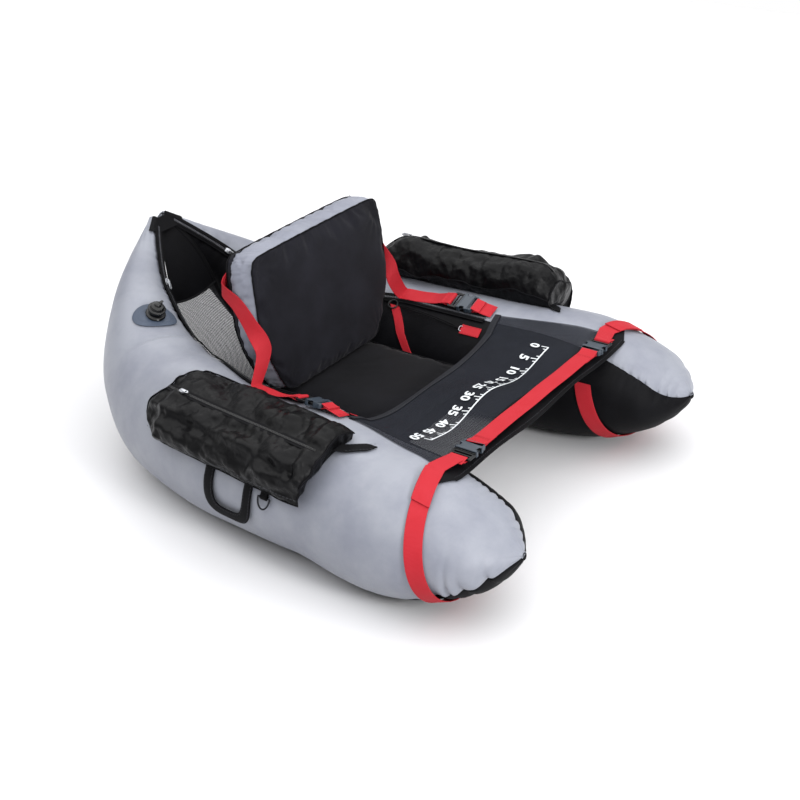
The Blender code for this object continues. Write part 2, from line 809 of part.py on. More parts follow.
def build_seat():
    """Flat seat cushion with a crowned top and drawn-in sides."""
    outline = rounded_outline(SEAT_WIDTH / 2, SEAT_DEPTH / 2, SEAT_CORNER, SEAT_DRAW, SEAT_STEPS)
    middle_y = SEAT_BACK_PLACE - SEAT_DEPTH / 2
    foot = seat_level() + GAP
    rings = []
    for share in SEAT_FOOT_SHARES:
        rings.append([(x * share, middle_y + y * share, foot) for x, y in outline])
    for share in SEAT_SIDE_SHARES:
        rings.append([(x, middle_y + y, foot + SEAT_EDGE * share) for x, y in outline])
    for share in SEAT_TOP_SHARES:
        height = foot + SEAT_EDGE + SEAT_CROWN * (1 - share ** 2)
        rings.append([(x * share, middle_y + y * share, height) for x, y in outline])
    add_object("seat_cushion", mesh_from("seat_cushion", loft(rings)), "black_nylon")


def back_hinge():
    """Point on the backrest's fold axis: the front foot edge, just over the seat."""
    height = seat_level() + GAP + SEAT_EDGE + SEAT_CROWN + BACK_HINGE_CLEARANCE
    return Vector((0, BACK_HINGE_Y, height))


def back_outline(inset=0.0):
    """Closed outline of the backrest, seen from the front, in its own axes."""
    half = [(x * BACK_WIDTH / 2, z * BACK_HEIGHT) for x, z in BACK_OUTLINE_SHARES]
    loop = half[:-1] + [(-x, z) for x, z in reversed(half)][:-1]
    middle = Vector((0, BACK_HEIGHT / 2))
    moved = []
    count = len(loop)
    for k, place in enumerate(loop):
        here = Vector(place)
        along = Vector(loop[(k + 1) % count]) - Vector(loop[k - 1])
        normal = Vector((along.y, -along.x)).normalized()
        if normal.dot(here - middle) < 0:
            normal.negate()
        moved.append(here - normal * inset)
    return moved


def back_ring(outline, share, depth):
    """Ring of the backrest: the outline drawn towards its middle, at a depth to the rear."""
    middle = Vector((0, BACK_HEIGHT / 2))
    return [((p - middle).x * share, depth, middle.y + (p - middle).y * share) for p in outline]


def crowned(share, crown):
    """Bulge of a cushion face at a share of the way out to its edge."""
    return crown * (1 - share ** 3)


def build_backrest():
    """Foam core, black front and rear panels and grey border, all on one fold axis."""
    fold = bpy.data.objects.new("backrest_fold_axis", None)
    collection(NAME).objects.link(fold)
    fold.location = back_hinge()
    fold.rotation_euler = (math.radians(-BACK_LEAN), 0, 0)

    core = back_outline(BACK_SKIN + GAP)
    front = BACK_SKIN + GAP
    rear = BACK_THICKNESS - BACK_SKIN - GAP
    rings = [back_ring(core, share, front - crowned(share, BACK_CROWN)) for share in BACK_FRONT_RING_SHARES]
    rings += [back_ring(core, share, rear + crowned(share, BACK_REAR_CROWN))
              for share in reversed(BACK_REAR_RING_SHARES)]
    add_object("backrest_core", mesh_from("backrest_core", loft(rings)), "foam", parent=fold)

    shares = BACK_FRONT_RING_SHARES
    rings = [back_ring(core, share, front - GAP - crowned(share, BACK_CROWN)) for share in shares]
    rings += [back_ring(core, share, -crowned(share, BACK_CROWN)) for share in reversed(shares)]
    panel = mesh_from("backrest_front_panel", loft(rings))
    add_object("backrest_front_panel", panel, "black_nylon", parent=fold)

    shares = BACK_REAR_RING_SHARES
    rings = [back_ring(core, share, rear + GAP + crowned(share, BACK_REAR_CROWN)) for share in shares]
    rings += [back_ring(core, share, BACK_THICKNESS + crowned(share, BACK_REAR_CROWN))
              for share in reversed(shares)]
    panel = mesh_from("backrest_rear_panel", loft(rings))
    add_object("backrest_rear_panel", panel, "black_nylon", parent=fold)

    inner = back_outline(BACK_SKIN)
    outer = back_outline(0.0)
    fuller = back_outline(-BACK_BORDER_BULGE)
    depths = (0, BACK_THICKNESS / 2, BACK_THICKNESS)
    under = [[(p.x, depth, p.y) for depth in depths] for p in inner]
    over = [[(p.x, depths[0], p.y), (q.x, depths[1], q.y), (p.x, depths[2], p.y)]
            for p, q in zip(outer, fuller)]
    border = mesh_from("backrest_border", slab(under, over, wrap=True))
    add_object("backrest_border", border, "hull_nylon", parent=fold)


# Valves

def build_valve(label, tube):
    """Oval patch, valve body and screw cap on the horn."""
    place, angle = VALVE_PLACE_SHARE, VALVE_ANGLE
    along = VALVE_PATCH_HALF_WIDTH / tube.speed(place)
    across = tube.turn_for(place, VALVE_PATCH_HALF_LENGTH)
    hole = (VALVE_STEM_RADIUS + VALVE_HOLE_MARGIN) / VALVE_PATCH_HALF_WIDTH
    under = []
    over = []
    for k in range(VALVE_PATCH_STEPS):
        turn = 2 * math.pi * k / VALVE_PATCH_STEPS
        spots = [(place + along * share * math.sin(turn), angle + across * share * math.cos(turn))
                 for share in (hole, (hole + 1) / 2, 1)]
        under.append([tube.skin(u, v, PATCH_LIFT) for u, v in spots])
        over.append([tube.skin(u, v, PATCH_LIFT + PATCH_THICKNESS) for u, v in spots])
    patch = mesh_from("valve_patch", slab(under, over, wrap=True))
    add_object(f"{label}_valve_patch", patch, "valve_patch")

    frame = tube.seat_frame(place, angle, PATCH_LIFT + PATCH_THICKNESS + VALVE_SEAT_LIFT)
    top = VALVE_FLANGE + VALVE_COLLAR
    body = (
        (0, top),
        (VALVE_COLLAR_RADIUS - VALVE_ROUNDING, top),
        (VALVE_COLLAR_RADIUS, top - VALVE_ROUNDING),
        (VALVE_COLLAR_RADIUS, VALVE_FLANGE),
        (VALVE_FLANGE_RADIUS - VALVE_ROUNDING, VALVE_FLANGE),
        (VALVE_FLANGE_RADIUS, VALVE_FLANGE - VALVE_ROUNDING),
        (VALVE_FLANGE_RADIUS, 0),
        (VALVE_STEM_RADIUS - FIT_CLEARANCE, 0),
        (VALVE_STEM_RADIUS - FIT_CLEARANCE, -PATCH_THICKNESS - VALVE_SEAT_LIFT),
        (0, -PATCH_THICKNESS - VALVE_SEAT_LIFT),
    )
    turned(f"{label}_valve_body", body, "black_plastic", frame)
    rim = VALVE_CAP_RIM
    cap_top = rim + VALVE_CAP_TOP
    cap = (
        (0, cap_top + VALVE_KNOB),
        (VALVE_KNOB_RADIUS - VALVE_ROUNDING, cap_top + VALVE_KNOB),
        (VALVE_KNOB_RADIUS, cap_top + VALVE_KNOB - VALVE_ROUNDING),
        (VALVE_KNOB_RADIUS, cap_top),
        (VALVE_CAP_TOP_RADIUS - VALVE_ROUNDING, cap_top),
        (VALVE_CAP_TOP_RADIUS, cap_top - VALVE_ROUNDING),
        (VALVE_CAP_TOP_RADIUS, rim),
        (VALVE_CAP_RADIUS, rim),
        (VALVE_CAP_RADIUS, 0),
        (0, 0),
    )
    turned(f"{label}_valve_cap", cap, "black_plastic", frame @ Matrix.Translation((0, 0, top + GAP)))


# Buckles: each is built about its mouth, the plug's side being +X

def build_socket(name, frame):
    """Open sleeve with side windows for the prongs and a bar for the webbing."""
    item = add_object(name, mesh_from(name, box((SOCKET_LENGTH, SOCKET_WIDTH, SOCKET_HEIGHT),
                                                (-SOCKET_LENGTH / 2, 0, 0))), "buckle_plastic")
    item.matrix_world = frame
    inner = (SOCKET_DEPTH + CUT_OVERRUN, SOCKET_WIDTH - 2 * SOCKET_WALL, SOCKET_HEIGHT - 2 * SOCKET_WALL)
    combine(item, box(inner, ((CUT_OVERRUN - SOCKET_DEPTH) / 2, 0, 0)), "DIFFERENCE", "sleeve")
    slot_x = -SOCKET_LENGTH + SOCKET_BAR + SOCKET_SLOT / 2
    slot = (SOCKET_SLOT, WEB_WIDTH + 2 * FIT_CLEARANCE, SOCKET_HEIGHT + CUT_OVERRUN)
    combine(item, box(slot, (slot_x, 0, 0)), "DIFFERENCE", "webbing_slot")
    for side in (1, -1):
        window = (WINDOW_LENGTH, 2 * WINDOW_DEPTH, SOCKET_HEIGHT + CUT_OVERRUN)
        spot = (-WINDOW_START - WINDOW_LENGTH / 2, side * SOCKET_WIDTH / 2, 0)
        combine(item, box(window, spot), "DIFFERENCE", f"window_{side + 1}")
    return item


def plug_outline():
    """Half outline of the plug's prongs and tongue, from the base's corner to the middle."""
    half = SOCKET_WIDTH / 2
    outer = SOCKET_WIDTH / 2 - SOCKET_WALL - FIT_CLEARANCE
    arm = outer - (PRONG_WIDTH - PRONG_WAIST)
    barb = -PLUG_REACH + BARB_LENGTH
    return [
        (PLUG_BASE, half),
        (FIT_CLEARANCE, half),
        (FIT_CLEARANCE, arm),
        (barb, arm),
        (barb, outer),
        (-PLUG_REACH + PRONG_WAIST, outer),
        (-PLUG_REACH, arm),
        (-PLUG_REACH, outer - PRONG_WIDTH),
        (barb, arm - PRONG_WAIST),
        (FIT_CLEARANCE, arm - PRONG_WAIST),
        (FIT_CLEARANCE, TONGUE_WIDTH / 2),
        (-PLUG_REACH, TONGUE_WIDTH / 2),
    ]


def build_plug(name, frame):
    """Flat plug with two barbed prongs, a guide tongue and a two-slot webbing lock."""
    data = bpy.data.curves.new(name, "CURVE")
    data.dimensions = "2D"
    data.fill_mode = "BOTH"
    data.extrude = PLUG_THICKNESS / 2
    half = plug_outline()
    loops = [half + [(x, -y) for x, y in reversed(half)]]
    reach = WEB_WIDTH / 2 + FIT_CLEARANCE
    for k in range(2):
        end = PLUG_BASE - PLUG_BAR - k * (PLUG_SLOT + PLUG_BAR)
        loops.append([(end, reach), (end, -reach), (end - PLUG_SLOT, -reach), (end - PLUG_SLOT, reach)])
    for loop in loops:
        spline = data.splines.new("POLY")
        spline.points.add(len(loop) - 1)
        for slot, (x, y) in zip(spline.points, loop):
            slot.co = (x, y, 0, 1)
        spline.use_cyclic_u = True
    item = add_object(name, data, "black_plastic")
    item.matrix_world = frame
    weld = item.modifiers.new("weld", "WELD")
    weld.merge_threshold = WELD_REACH
    return item


# Apron, front strap and wrap straps

def band_on(tube, spots, width, lifts, thickness):
    """A strap that runs round the tube through (place, angle) spots, its width along the tube."""
    under = []
    over = []
    for (place, angle), lift in zip(spots, lifts):
        half = width / 2 / tube.speed(place)
        places = (place - half, place, place + half)
        under.append([tube.skin(u, angle, lift) for u in places])
        over.append([tube.skin(u, angle, lift + thickness) for u in places])
    return under, over


def apron_row(share, lift):
    """Points across the apron at a share from its rear hem to its front, raised by the lift."""
    left = TUBES["left"]
    place = APRON_FIRST_SHARE + (APRON_LAST_SHARE - APRON_FIRST_SHARE) * share
    edge, leave = (first + (last - first) * share
                   for first, last in (APRON_EDGE_ANGLES, APRON_LEAVE_ANGLES))
    on_tube = [left.skin(place, angle, APRON_LIFT + lift)
               for angle in spaced(edge, leave, APRON_EDGE_COLUMNS)]
    end = on_tube.pop()
    span = []
    hang = APRON_SAG + APRON_HEM_SAG * (1 - share) ** 2
    for across in spaced(1, -1, APRON_SPAN_COLUMNS):
        crest = math.cos(APRON_WAVES * math.pi * (across + APRON_CREST_SHARE))
        drop = (hang - APRON_WAVE * math.sin(math.pi * share) * crest) * (1 - across ** 4)
        span.append(Vector((end.x * across, end.y, end.z - drop)))
    return on_tube + span + [Vector((-p.x, p.y, p.z)) for p in reversed(on_tube)]


def build_apron():
    """Mesh apron, its rear hem, its black front binding and the red front strap."""
    reach = (APRON_LAST_SHARE - APRON_FIRST_SHARE) * TUBES["left"].speed(APRON_FIRST_SHARE)
    hem_share = HEM_WIDTH / reach
    shares = [0] + spaced(hem_share, 1, APRON_ROWS)
    under = [apron_row(share, 0) for share in shares]
    over = [apron_row(share, APRON_THICKNESS) for share in shares]
    add_object("apron_mesh", mesh_from("apron_mesh", slab(under, over)), "black_net")

    stack = APRON_THICKNESS + GAP
    under = [apron_row(share, stack + GAP) for share in shares[:2]]
    over = [apron_row(share, stack + GAP + HEM_THICKNESS) for share in shares[:2]]
    add_object("apron_rear_hem", mesh_from("apron_rear_hem", slab(under, over)), "grey_hem")

    under = binding_rows(stack)
    over = binding_rows(stack + BINDING_THICKNESS)
    binding = mesh_from("apron_front_binding", slab(under, over))
    add_object("apron_front_binding", binding, "black_webbing")

    reaches = spaced(-FRONT_STRAP_HALF, FRONT_STRAP_HALF, FRONT_STRAP_STEPS)
    centres = [front_strap_point(x) for x in reaches]
    across = [Vector((0, 1, 0))] * len(centres)
    strap = ribbon(centres, across, WEB_WIDTH, WEB_THICKNESS)
    add_object("front_strap", mesh_from("front_strap", strap), "red_webbing")


def binding_rows(lift):
    """Rows of the front binding, with a pointed corner patch on each tube."""
    left = TUBES["left"]
    middle = apron_row(1, lift)
    corner = []
    for k, angle in enumerate(spaced(CORNER_ANGLE, APRON_EDGE_ANGLES[1], CORNER_COLUMNS)[:-1]):
        narrow = CORNER_TIP_SHARE + (1 - CORNER_TIP_SHARE) * k / CORNER_COLUMNS
        reach = BINDING_WIDTH / 2 * narrow / left.speed(APRON_LAST_SHARE)
        corner.append([left.skin(APRON_LAST_SHARE + reach * end, angle, APRON_LIFT + lift)
                       for end in (-1, 0, 1)])
    span = []
    share_step = BINDING_WIDTH / 2 / left.speed(APRON_LAST_SHARE) / (APRON_LAST_SHARE - APRON_FIRST_SHARE)
    behind = apron_row(1 - share_step, lift)
    ahead = apron_row(1 + share_step, lift)
    for trio in zip(behind, middle, ahead):
        span.append(list(trio))
    mirrored = [[Vector((-p.x, p.y, p.z)) for p in trio] for trio in reversed(corner)]
    return corner + span + mirrored


def front_strap_point(x):
    """Middle of the front strap at a place across the boat, over the front binding."""
    row = apron_row(1, APRON_THICKNESS + 2 * GAP + BINDING_THICKNESS)
    top = max(p.z for p in row)
    return Vector((x, row[0].y, top + FRONT_STRAP_RISE + WEB_THICKNESS / 2))


def build_front_buckle(label, tube):
    """Socket on the front strap's end and plug on the wrap strap, pulled apart along X."""
    mouth = front_strap_point(FRONT_STRAP_HALF)
    reach = FRONT_STRAP_HALF + GAP + SOCKET_LENGTH
    frame = Matrix.Translation((tube.side * reach, mouth.y, mouth.z))
    if tube.side < 0:
        frame = frame @ Matrix.Rotation(math.pi, 4, "Z")
    build_socket(f"{label}_front_buckle_socket", frame)
    build_plug(f"{label}_front_buckle_plug", frame)
    return frame @ Vector((PLUG_BASE + GAP, 0, 0))


def wrap_spot(share):
    """Place and angle of the wrap strap at a share of its way round the tube."""
    angle = WRAP_TOP_ANGLE + (WRAP_END_ANGLE - WRAP_TOP_ANGLE) * share
    sweep = math.sin(math.pi * share)
    return WRAP_TOP_SHARE + (WRAP_LOW_SHARE - WRAP_TOP_SHARE) * sweep, angle


def build_wrap(label, tube, start):
    """Wrap strap from the plug over the tube, down its outer side and under to the inner wall."""
    spots = [wrap_spot(share) for share in spaced(0, 1, WRAP_STEPS)]
    raised = APRON_LIFT + APRON_THICKNESS + BINDING_THICKNESS + 2 * GAP
    fallen = [(CORNER_ANGLE - angle) / WRAP_FALL for _, angle in spots]
    lifts = [WRAP_LIFT + raised * min(1.0, max(0.0, 1 - fall)) for fall in fallen]
    under, over = band_on(tube, spots, WEB_WIDTH, lifts, WEB_THICKNESS)
    half = Vector((0, WEB_WIDTH / 2, 0))
    lift = Vector((0, 0, WEB_THICKNESS / 2))
    first = [start + half, start, start - half]
    under.insert(0, [p - lift for p in first])
    over.insert(0, [p + lift for p in first])
    strap = mesh_from("wrap_strap", slab(under, over))
    add_object(f"{label}_wrap_strap", strap, "red_webbing")


# Back straps

def back_buckle_frame(tube):
    """Frame of the back buckle: its mouth points to the stern, along the boat."""
    spot = tube.skin(BACK_BUCKLE_SHARE, BACK_BUCKLE_ANGLE, BACK_BUCKLE_LIFT + SOCKET_HEIGHT / 2)
    turn = math.radians(BACK_BUCKLE_ANGLE)
    normal = Vector((tube.side * math.cos(turn), 0, math.sin(turn)))
    rearward = Vector((0, 1, 0))
    across = normal.cross(rearward)
    frame = Matrix((rearward, across, normal)).transposed().to_4x4()
    frame.translation = spot
    return frame


def back_point(x, depth, height):
    """World place of a point given in the backrest's own axes."""
    return back_hinge() + Matrix.Rotation(math.radians(-BACK_LEAN), 3, "X") @ Vector((x, depth, height))


def build_back_strap(label, tube):
    """Buckle on the tube, its sewn end, and the strap up behind the backrest."""
    frame = back_buckle_frame(tube)
    build_socket(f"{label}_back_buckle_socket", frame)
    build_plug(f"{label}_back_buckle_plug", frame)

    across = frame.to_3x3() @ Vector((0, 1, 0))
    first = frame @ Vector((-SOCKET_LENGTH - GAP, 0, 0))
    end_share = BACK_BUCKLE_SHARE + (SOCKET_LENGTH + BACK_ANCHOR_LENGTH) / tube.speed(BACK_BUCKLE_SHARE)
    last = tube.skin(end_share, BACK_BUCKLE_ANGLE, BACK_END_LIFT)
    middle = (first + last) / 2
    sewn_end = ribbon([first, middle, last], [across] * 3, WEB_WIDTH, WEB_THICKNESS)
    anchor = mesh_from("back_strap_end", sewn_end)
    add_object(f"{label}_back_strap_end", anchor, "red_webbing")

    side = tube.side
    start = frame @ Vector((PLUG_BASE + GAP, 0, 0))
    centres = [start]
    sides = [across]
    for place, angle in zip(BACK_STRAP_SHARES, BACK_STRAP_ANGLES):
        centres.append(tube.skin(place, angle, BACK_STRAP_LIFT))
        sides.append(across)
    beside = BACK_WIDTH / 2 + BACK_BORDER_BULGE + BACK_STRAP_CLEARANCE
    slant = math.radians(BACK_WRAP_SLANT)
    rise = Vector((0, math.cos(slant), -math.sin(slant)))
    for height, depth, turn in BACK_STRAP_SIDE_SHARES:
        centres.append(back_point(side * beside, BACK_THICKNESS * depth, BACK_HEIGHT * height))
        sides.append(across.lerp(rise, turn).normalized())
    behind = BACK_THICKNESS + 2 * GAP + WEB_THICKNESS / 2
    for reach, height, turn in BACK_STRAP_REAR_SHARES:
        crown = BACK_REAR_CROWN * (BACK_REAR_STRAP_SHARE * turn + 1 - turn)
        centres.append(back_point(side * (beside - reach * BACK_WIDTH), behind + crown, BACK_HEIGHT * height))
        wrapped = Vector((-side * math.cos(slant), 0, -math.sin(slant)))
        sides.append(rise.lerp(wrapped, (1 + turn) / 2).normalized())
    centres = smooth_route(centres)
    sides = smooth_route(sides)
    strap = mesh_from("back_strap", ribbon(centres, sides, WEB_WIDTH, WEB_THICKNESS))
    add_object(f"{label}_back_strap", strap, "red_webbing")


def smooth_route(points):
    """Points of a rounder route through the given ones, ends kept."""
    places = spaced(0, 1, len(points) - 1)
    curves = [Curve(places, [p[axis] for p in points]) for axis in range(3)]
    shares = spaced(0, 1, 2 * (len(points) - 1))
    return [Vector([curve.at(share) for curve in curves]) for share in shares]


# Seat straps, rings, cords and apron tabs

def build_seat_strap(label, tube):
    """Red strap down the inner wall to the seat, its ring, the elastic cord and the apron tab."""
    spots = []
    for share in spaced(0, 1, SEAT_STRAP_STEPS):
        place = SEAT_STRAP_TOP_SHARE + (SEAT_STRAP_FOOT_SHARE - SEAT_STRAP_TOP_SHARE) * share
        angle = SEAT_STRAP_TOP_ANGLE + (SEAT_STRAP_FOOT_ANGLE - SEAT_STRAP_TOP_ANGLE) * share
        spots.append((place, angle))
    lifts = [WRAP_LIFT] * len(spots)
    under, over = band_on(tube, spots, SEAT_STRAP_WIDTH, lifts, WEB_THICKNESS)
    strap = mesh_from("seat_strap", slab(under, over))
    add_object(f"{label}_seat_strap", strap, "red_webbing")

    ring_lift = WRAP_LIFT + WEB_THICKNESS + RING_WIRE + GAP
    ring_frame = tube.seat_frame(SEAT_STRAP_TOP_SHARE, SEAT_STRAP_TOP_ANGLE, ring_lift)
    circle = []
    for k in range(RING_STEPS):
        turn = 2 * math.pi * k / RING_STEPS
        circle.append(ring_frame @ Vector((RING_RADIUS * math.cos(turn), RING_RADIUS * math.sin(turn), 0)))
    wire(f"{label}_strap_ring", circle, RING_WIRE, "black_plastic", cyclic=True)

    tab_frame = tube.seat_frame(TAB_PLACE_SHARE, TAB_ANGLE, WRAP_LIFT + WEB_THICKNESS)
    tab = [tab_frame @ Vector((x, 0, 0)) for x in (-TAB_LENGTH / 2, 0, TAB_LENGTH / 2)]
    tab_across = tab_frame.to_3x3() @ Vector((0, 1, 0))
    patch = mesh_from("apron_tab", ribbon(tab, [tab_across] * 3, TAB_WIDTH, WEB_THICKNESS))
    add_object(f"{label}_apron_tab", patch, "red_webbing")

    first = ring_frame @ Vector((RING_RADIUS + RING_WIRE + CORD_RADIUS + GAP, 0, 0))
    last = tab_frame @ Vector((-TAB_LENGTH / 2 - CORD_RADIUS - GAP, 0, 0))
    forward = (last - first).normalized()
    aside = forward.cross(Vector((0, 0, 1))).normalized() * CORD_SPACING / 2
    out = []
    back = []
    for share in spaced(0, 1, CORD_STEPS):
        spot = first.lerp(last, share) + Vector((0, 0, CORD_SAG * math.sin(math.pi * share)))
        spread = min(1.0, CORD_SPREAD_STEEPNESS * min(share, 1 - share))
        out.append(spot + aside * spread)
        back.append(spot - aside * spread)
    loop = out + list(reversed(back))[1:-1]
    wire(f"{label}_elastic_cord", loop, CORD_RADIUS, "black_webbing", cyclic=True)


# Bags

def bag_rows(label, tube, share):
    """Floor and upper skin of a bag across the tube, at a share of its length."""
    last = BAG_LAST_SHARES[label]
    place = BAG_FIRST_SHARE + (last - BAG_FIRST_SHARE) * share
    spine = tube.centre(BAG_FIRST_SHARE).lerp(tube.centre(last), share)
    angles = spaced(*BAG_FLOOR_ANGLES, BAG_FLOOR_STEPS)
    floor = [tube.skin(place, angle, BAG_LIFT) for angle in angles]
    steps = spaced(0, 1, len(BAG_SKINS[label]) - 1)
    outward, upward = (Curve(steps, [spot[axis] for spot in BAG_SKINS[label]]) for axis in (0, 1))
    end = min(1.0, min(share, 1 - share) / BAG_END_RUN_SHARE)
    full = BAG_END_DRAW_SHARE + (1 - BAG_END_DRAW_SHARE) * math.sin(math.pi / 2 * end)
    skin = []
    for foot, step in zip(floor, spaced(0, 1, BAG_FLOOR_STEPS)):
        offset = Vector((tube.side * outward.at(step), 0, upward.at(step)))
        skin.append(foot.lerp(spine + offset, full))
    return floor, skin


def build_bag(label, tube):
    """Side bag on the tube's outer shoulder, and the slider on its zip."""
    rows = [bag_rows(label, tube, share) for share in spaced(0, 1, BAG_ROWS)]
    bag = slab([floor for floor, _ in rows], [skin for _, skin in rows])
    add_object(f"{label}_bag", mesh_from("bag", bag), "black_nylon")

    _, skin = bag_rows(label, tube, BAG_SLIDER_REST_SHARE)
    forward = (tube.centre(BAG_LAST_SHARES[label]) - tube.centre(BAG_FIRST_SHARE)).normalized()
    around = skin[BAG_ZIP_COLUMN + 1] - skin[BAG_ZIP_COLUMN - 1]
    normal = around.cross(forward).normalized()
    if normal.z < 0:
        normal.negate()
    frame = Matrix((forward, normal.cross(forward), normal)).transposed().to_4x4()
    frame.translation = skin[BAG_ZIP_COLUMN] + normal * (GAP + BAG_SLIDER_HEIGHT / 2)
    build_slider(f"{label}_bag_zip_slider", frame, (BAG_SLIDER_LENGTH, BAG_SLIDER_WIDTH, BAG_SLIDER_HEIGHT))


# Handles and D-rings

def build_handle(label, tube):
    """Webbing loop that hangs down the outer side; it swings about its sewn ends."""
    middle = (HANDLE_SHARES[0] + HANDLE_SHARES[1]) / 2
    half = (HANDLE_SHARES[1] - HANDLE_SHARES[0]) / 2
    drop = HANDLE_ANGLES[1] - HANDLE_ANGLES[0]
    under = []
    over = []
    for k in range(HANDLE_STEPS + 1):
        turn = math.pi * k / HANDLE_STEPS
        low = abs(math.sin(turn)) ** HANDLE_ROUNDNESS
        lift = HANDLE_LIFT + HANDLE_BELLY * low
        row = []
        for inset in (0, HANDLE_WIDTH):
            reach = half - inset / tube.speed(middle)
            swing = drop - math.copysign(tube.turn_for(middle, inset), drop)
            wide = math.copysign(abs(math.cos(turn)) ** HANDLE_ROUNDNESS, math.cos(turn))
            row.append((middle - reach * wide, HANDLE_ANGLES[0] + swing * low))
        under.append([tube.skin(place, angle, lift) for place, angle in row])
        over.append([tube.skin(place, angle, lift + HANDLE_THICKNESS) for place, angle in row])
    origin = (over[0][0] + over[-1][0]) / 2
    mesh = mesh_from("carry_handle", slab(under, over), origin)
    add_object(f"{label}_carry_handle", mesh, "black_webbing", origin)


def build_dring(label, tube):
    """Webbing keeper beside the handle, with a D-ring that swings in it."""
    frame = tube.seat_frame(KEEPER_SHARE, KEEPER_ANGLE, KEEPER_THICKNESS / 2 + GAP)
    size = (KEEPER_LENGTH, KEEPER_HEIGHT, KEEPER_THICKNESS)
    name = f"{label}_ring_keeper"
    keeper = add_object(name, mesh_from("ring_keeper", box(size)), "black_webbing")
    keeper.matrix_world = frame
    downward = -1 if (frame.to_3x3() @ Vector((0, 1, 0))).z > 0 else 1
    bar = Vector((0, downward * KEEPER_BORE_DROP, 0))
    bore = bmesh.new()
    radius = DRING_WIRE + DRING_CLEARANCE
    turn = Matrix.Translation(bar) @ Matrix.Rotation(math.pi / 2, 4, "Y")
    bmesh.ops.create_cone(bore, cap_ends=True, segments=KEEPER_BORE_STEPS, radius1=radius, radius2=radius,
                          depth=KEEPER_LENGTH + CUT_OVERRUN, matrix=turn)
    combine(keeper, bore, "DIFFERENCE", "bore")
    points = []
    for k in range(DRING_STEPS + 1):
        turn = math.pi * k / DRING_STEPS
        aside = DRING_WIDTH / 2 * math.cos(turn)
        points.append(bar + Vector((aside, downward * DRING_HEIGHT * math.sin(turn), 0)))
    for share in DRING_BAR_SHARES:
        points.append(bar + Vector((DRING_WIDTH / 2 * share, 0, 0)))
    points = [frame @ point for point in points]
    wire(f"{label}_d_ring", points, DRING_WIRE, "zinc", cyclic=True, origin=frame @ bar)


def build_side(label):
    """Everything that both sides have."""
    tube = TUBES[label]
    build_hull(label, tube)
    build_zip(label, tube)
    build_valve(label, tube)
    start = build_front_buckle(label, tube)
    build_wrap(label, tube, start)
    build_back_strap(label, tube)
    build_seat_strap(label, tube)
    build_bag(label, tube)
    build_handle(label, tube)
    build_dring(label, tube)


def main():
    """Build the float tube."""
    for item in list(bpy.data.objects):
        bpy.data.objects.remove(item, do_unlink=True)
    for label in SIDES:
        build_side(label)
    build_stern_patch()
    build_net()
    build_seat_base()
    build_seat()
    build_backrest()
    build_apron()


main()
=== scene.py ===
"""Float tube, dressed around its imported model: coated nylon air tubes with puckered seams, stuffed
seat and backrest, side bags, mesh apron, webbing, buckles, valves and zips, in a studio.

Lengths are metres, angles degrees.  +Z is up, the open front faces -Y and the left side is +X.
Round a tube 0 is outward, 90 up, 180 inward and 270 down.
"""
import json
import logging
import math
from dataclasses import dataclass, field
from enum import Enum
from typing import Callable, Optional, Sequence

import bmesh
import bpy
import numpy as np
from mathutils import Matrix, Vector, noise


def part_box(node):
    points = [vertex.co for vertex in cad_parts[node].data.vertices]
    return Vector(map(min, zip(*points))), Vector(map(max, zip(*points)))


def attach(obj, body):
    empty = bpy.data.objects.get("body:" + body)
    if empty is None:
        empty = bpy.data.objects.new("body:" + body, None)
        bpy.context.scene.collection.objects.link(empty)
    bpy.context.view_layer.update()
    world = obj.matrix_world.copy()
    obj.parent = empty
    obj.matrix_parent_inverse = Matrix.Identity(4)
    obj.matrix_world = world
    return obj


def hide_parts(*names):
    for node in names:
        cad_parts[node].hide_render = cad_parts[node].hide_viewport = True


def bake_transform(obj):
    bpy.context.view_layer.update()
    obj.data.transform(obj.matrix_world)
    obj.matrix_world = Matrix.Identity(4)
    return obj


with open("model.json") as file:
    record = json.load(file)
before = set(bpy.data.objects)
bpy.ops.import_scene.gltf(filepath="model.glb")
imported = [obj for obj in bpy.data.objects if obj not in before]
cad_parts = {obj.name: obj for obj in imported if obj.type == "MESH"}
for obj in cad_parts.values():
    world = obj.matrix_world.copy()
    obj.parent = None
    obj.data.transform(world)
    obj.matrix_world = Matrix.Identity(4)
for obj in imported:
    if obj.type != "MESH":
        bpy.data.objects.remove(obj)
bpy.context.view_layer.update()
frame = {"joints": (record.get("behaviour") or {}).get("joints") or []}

# Room between two pieces that lie on each other, and the distance at which two points are one
GAP = 0.0003
MERGE = 0.00001
# Step of a tube's path that shows its direction
PROBE = 0.004
UPWARD = np.array([0.0, 0.0, 1.0])
# How stuffed cloth behaves: stiff along its threads, soft in bending
CLOTH = {"quality": 6, "mass": 0.25, "tension_stiffness": 18, "compression_stiffness": 18,
         "shear_stiffness": 8, "bending_stiffness": 0.35, "use_pressure": True}
CLOTH_FRAMES = 20
# Stitches across a strap: half the row's width, a stitch's length and the gap to the next
TACK_REACH = 0.016
TACK = (0.004, 0.0015)
log = logging.getLogger("float_tube")


class Side(Enum):
    """The boat's two sides, with the sign of X on each."""

    LEFT = 1
    RIGHT = -1

    @property
    def label(self) -> str:
        """Name of the side, as the nodes have it."""
        return self.name.lower()


# Finishes

def linear(code: str) -> tuple[float, float, float, float]:
    """Turn an sRGB hex colour into a linear one.

    Args:
        code: six hex digits.

    Returns:
        Red, green, blue and an alpha of one.
    """
    channels = [int(code[k:k + 2], 16) / 255 for k in (0, 2, 4)]
    return (*(c / 12.92 if c <= 0.04045 else ((c + 0.055) / 1.055) ** 2.4 for c in channels), 1.0)


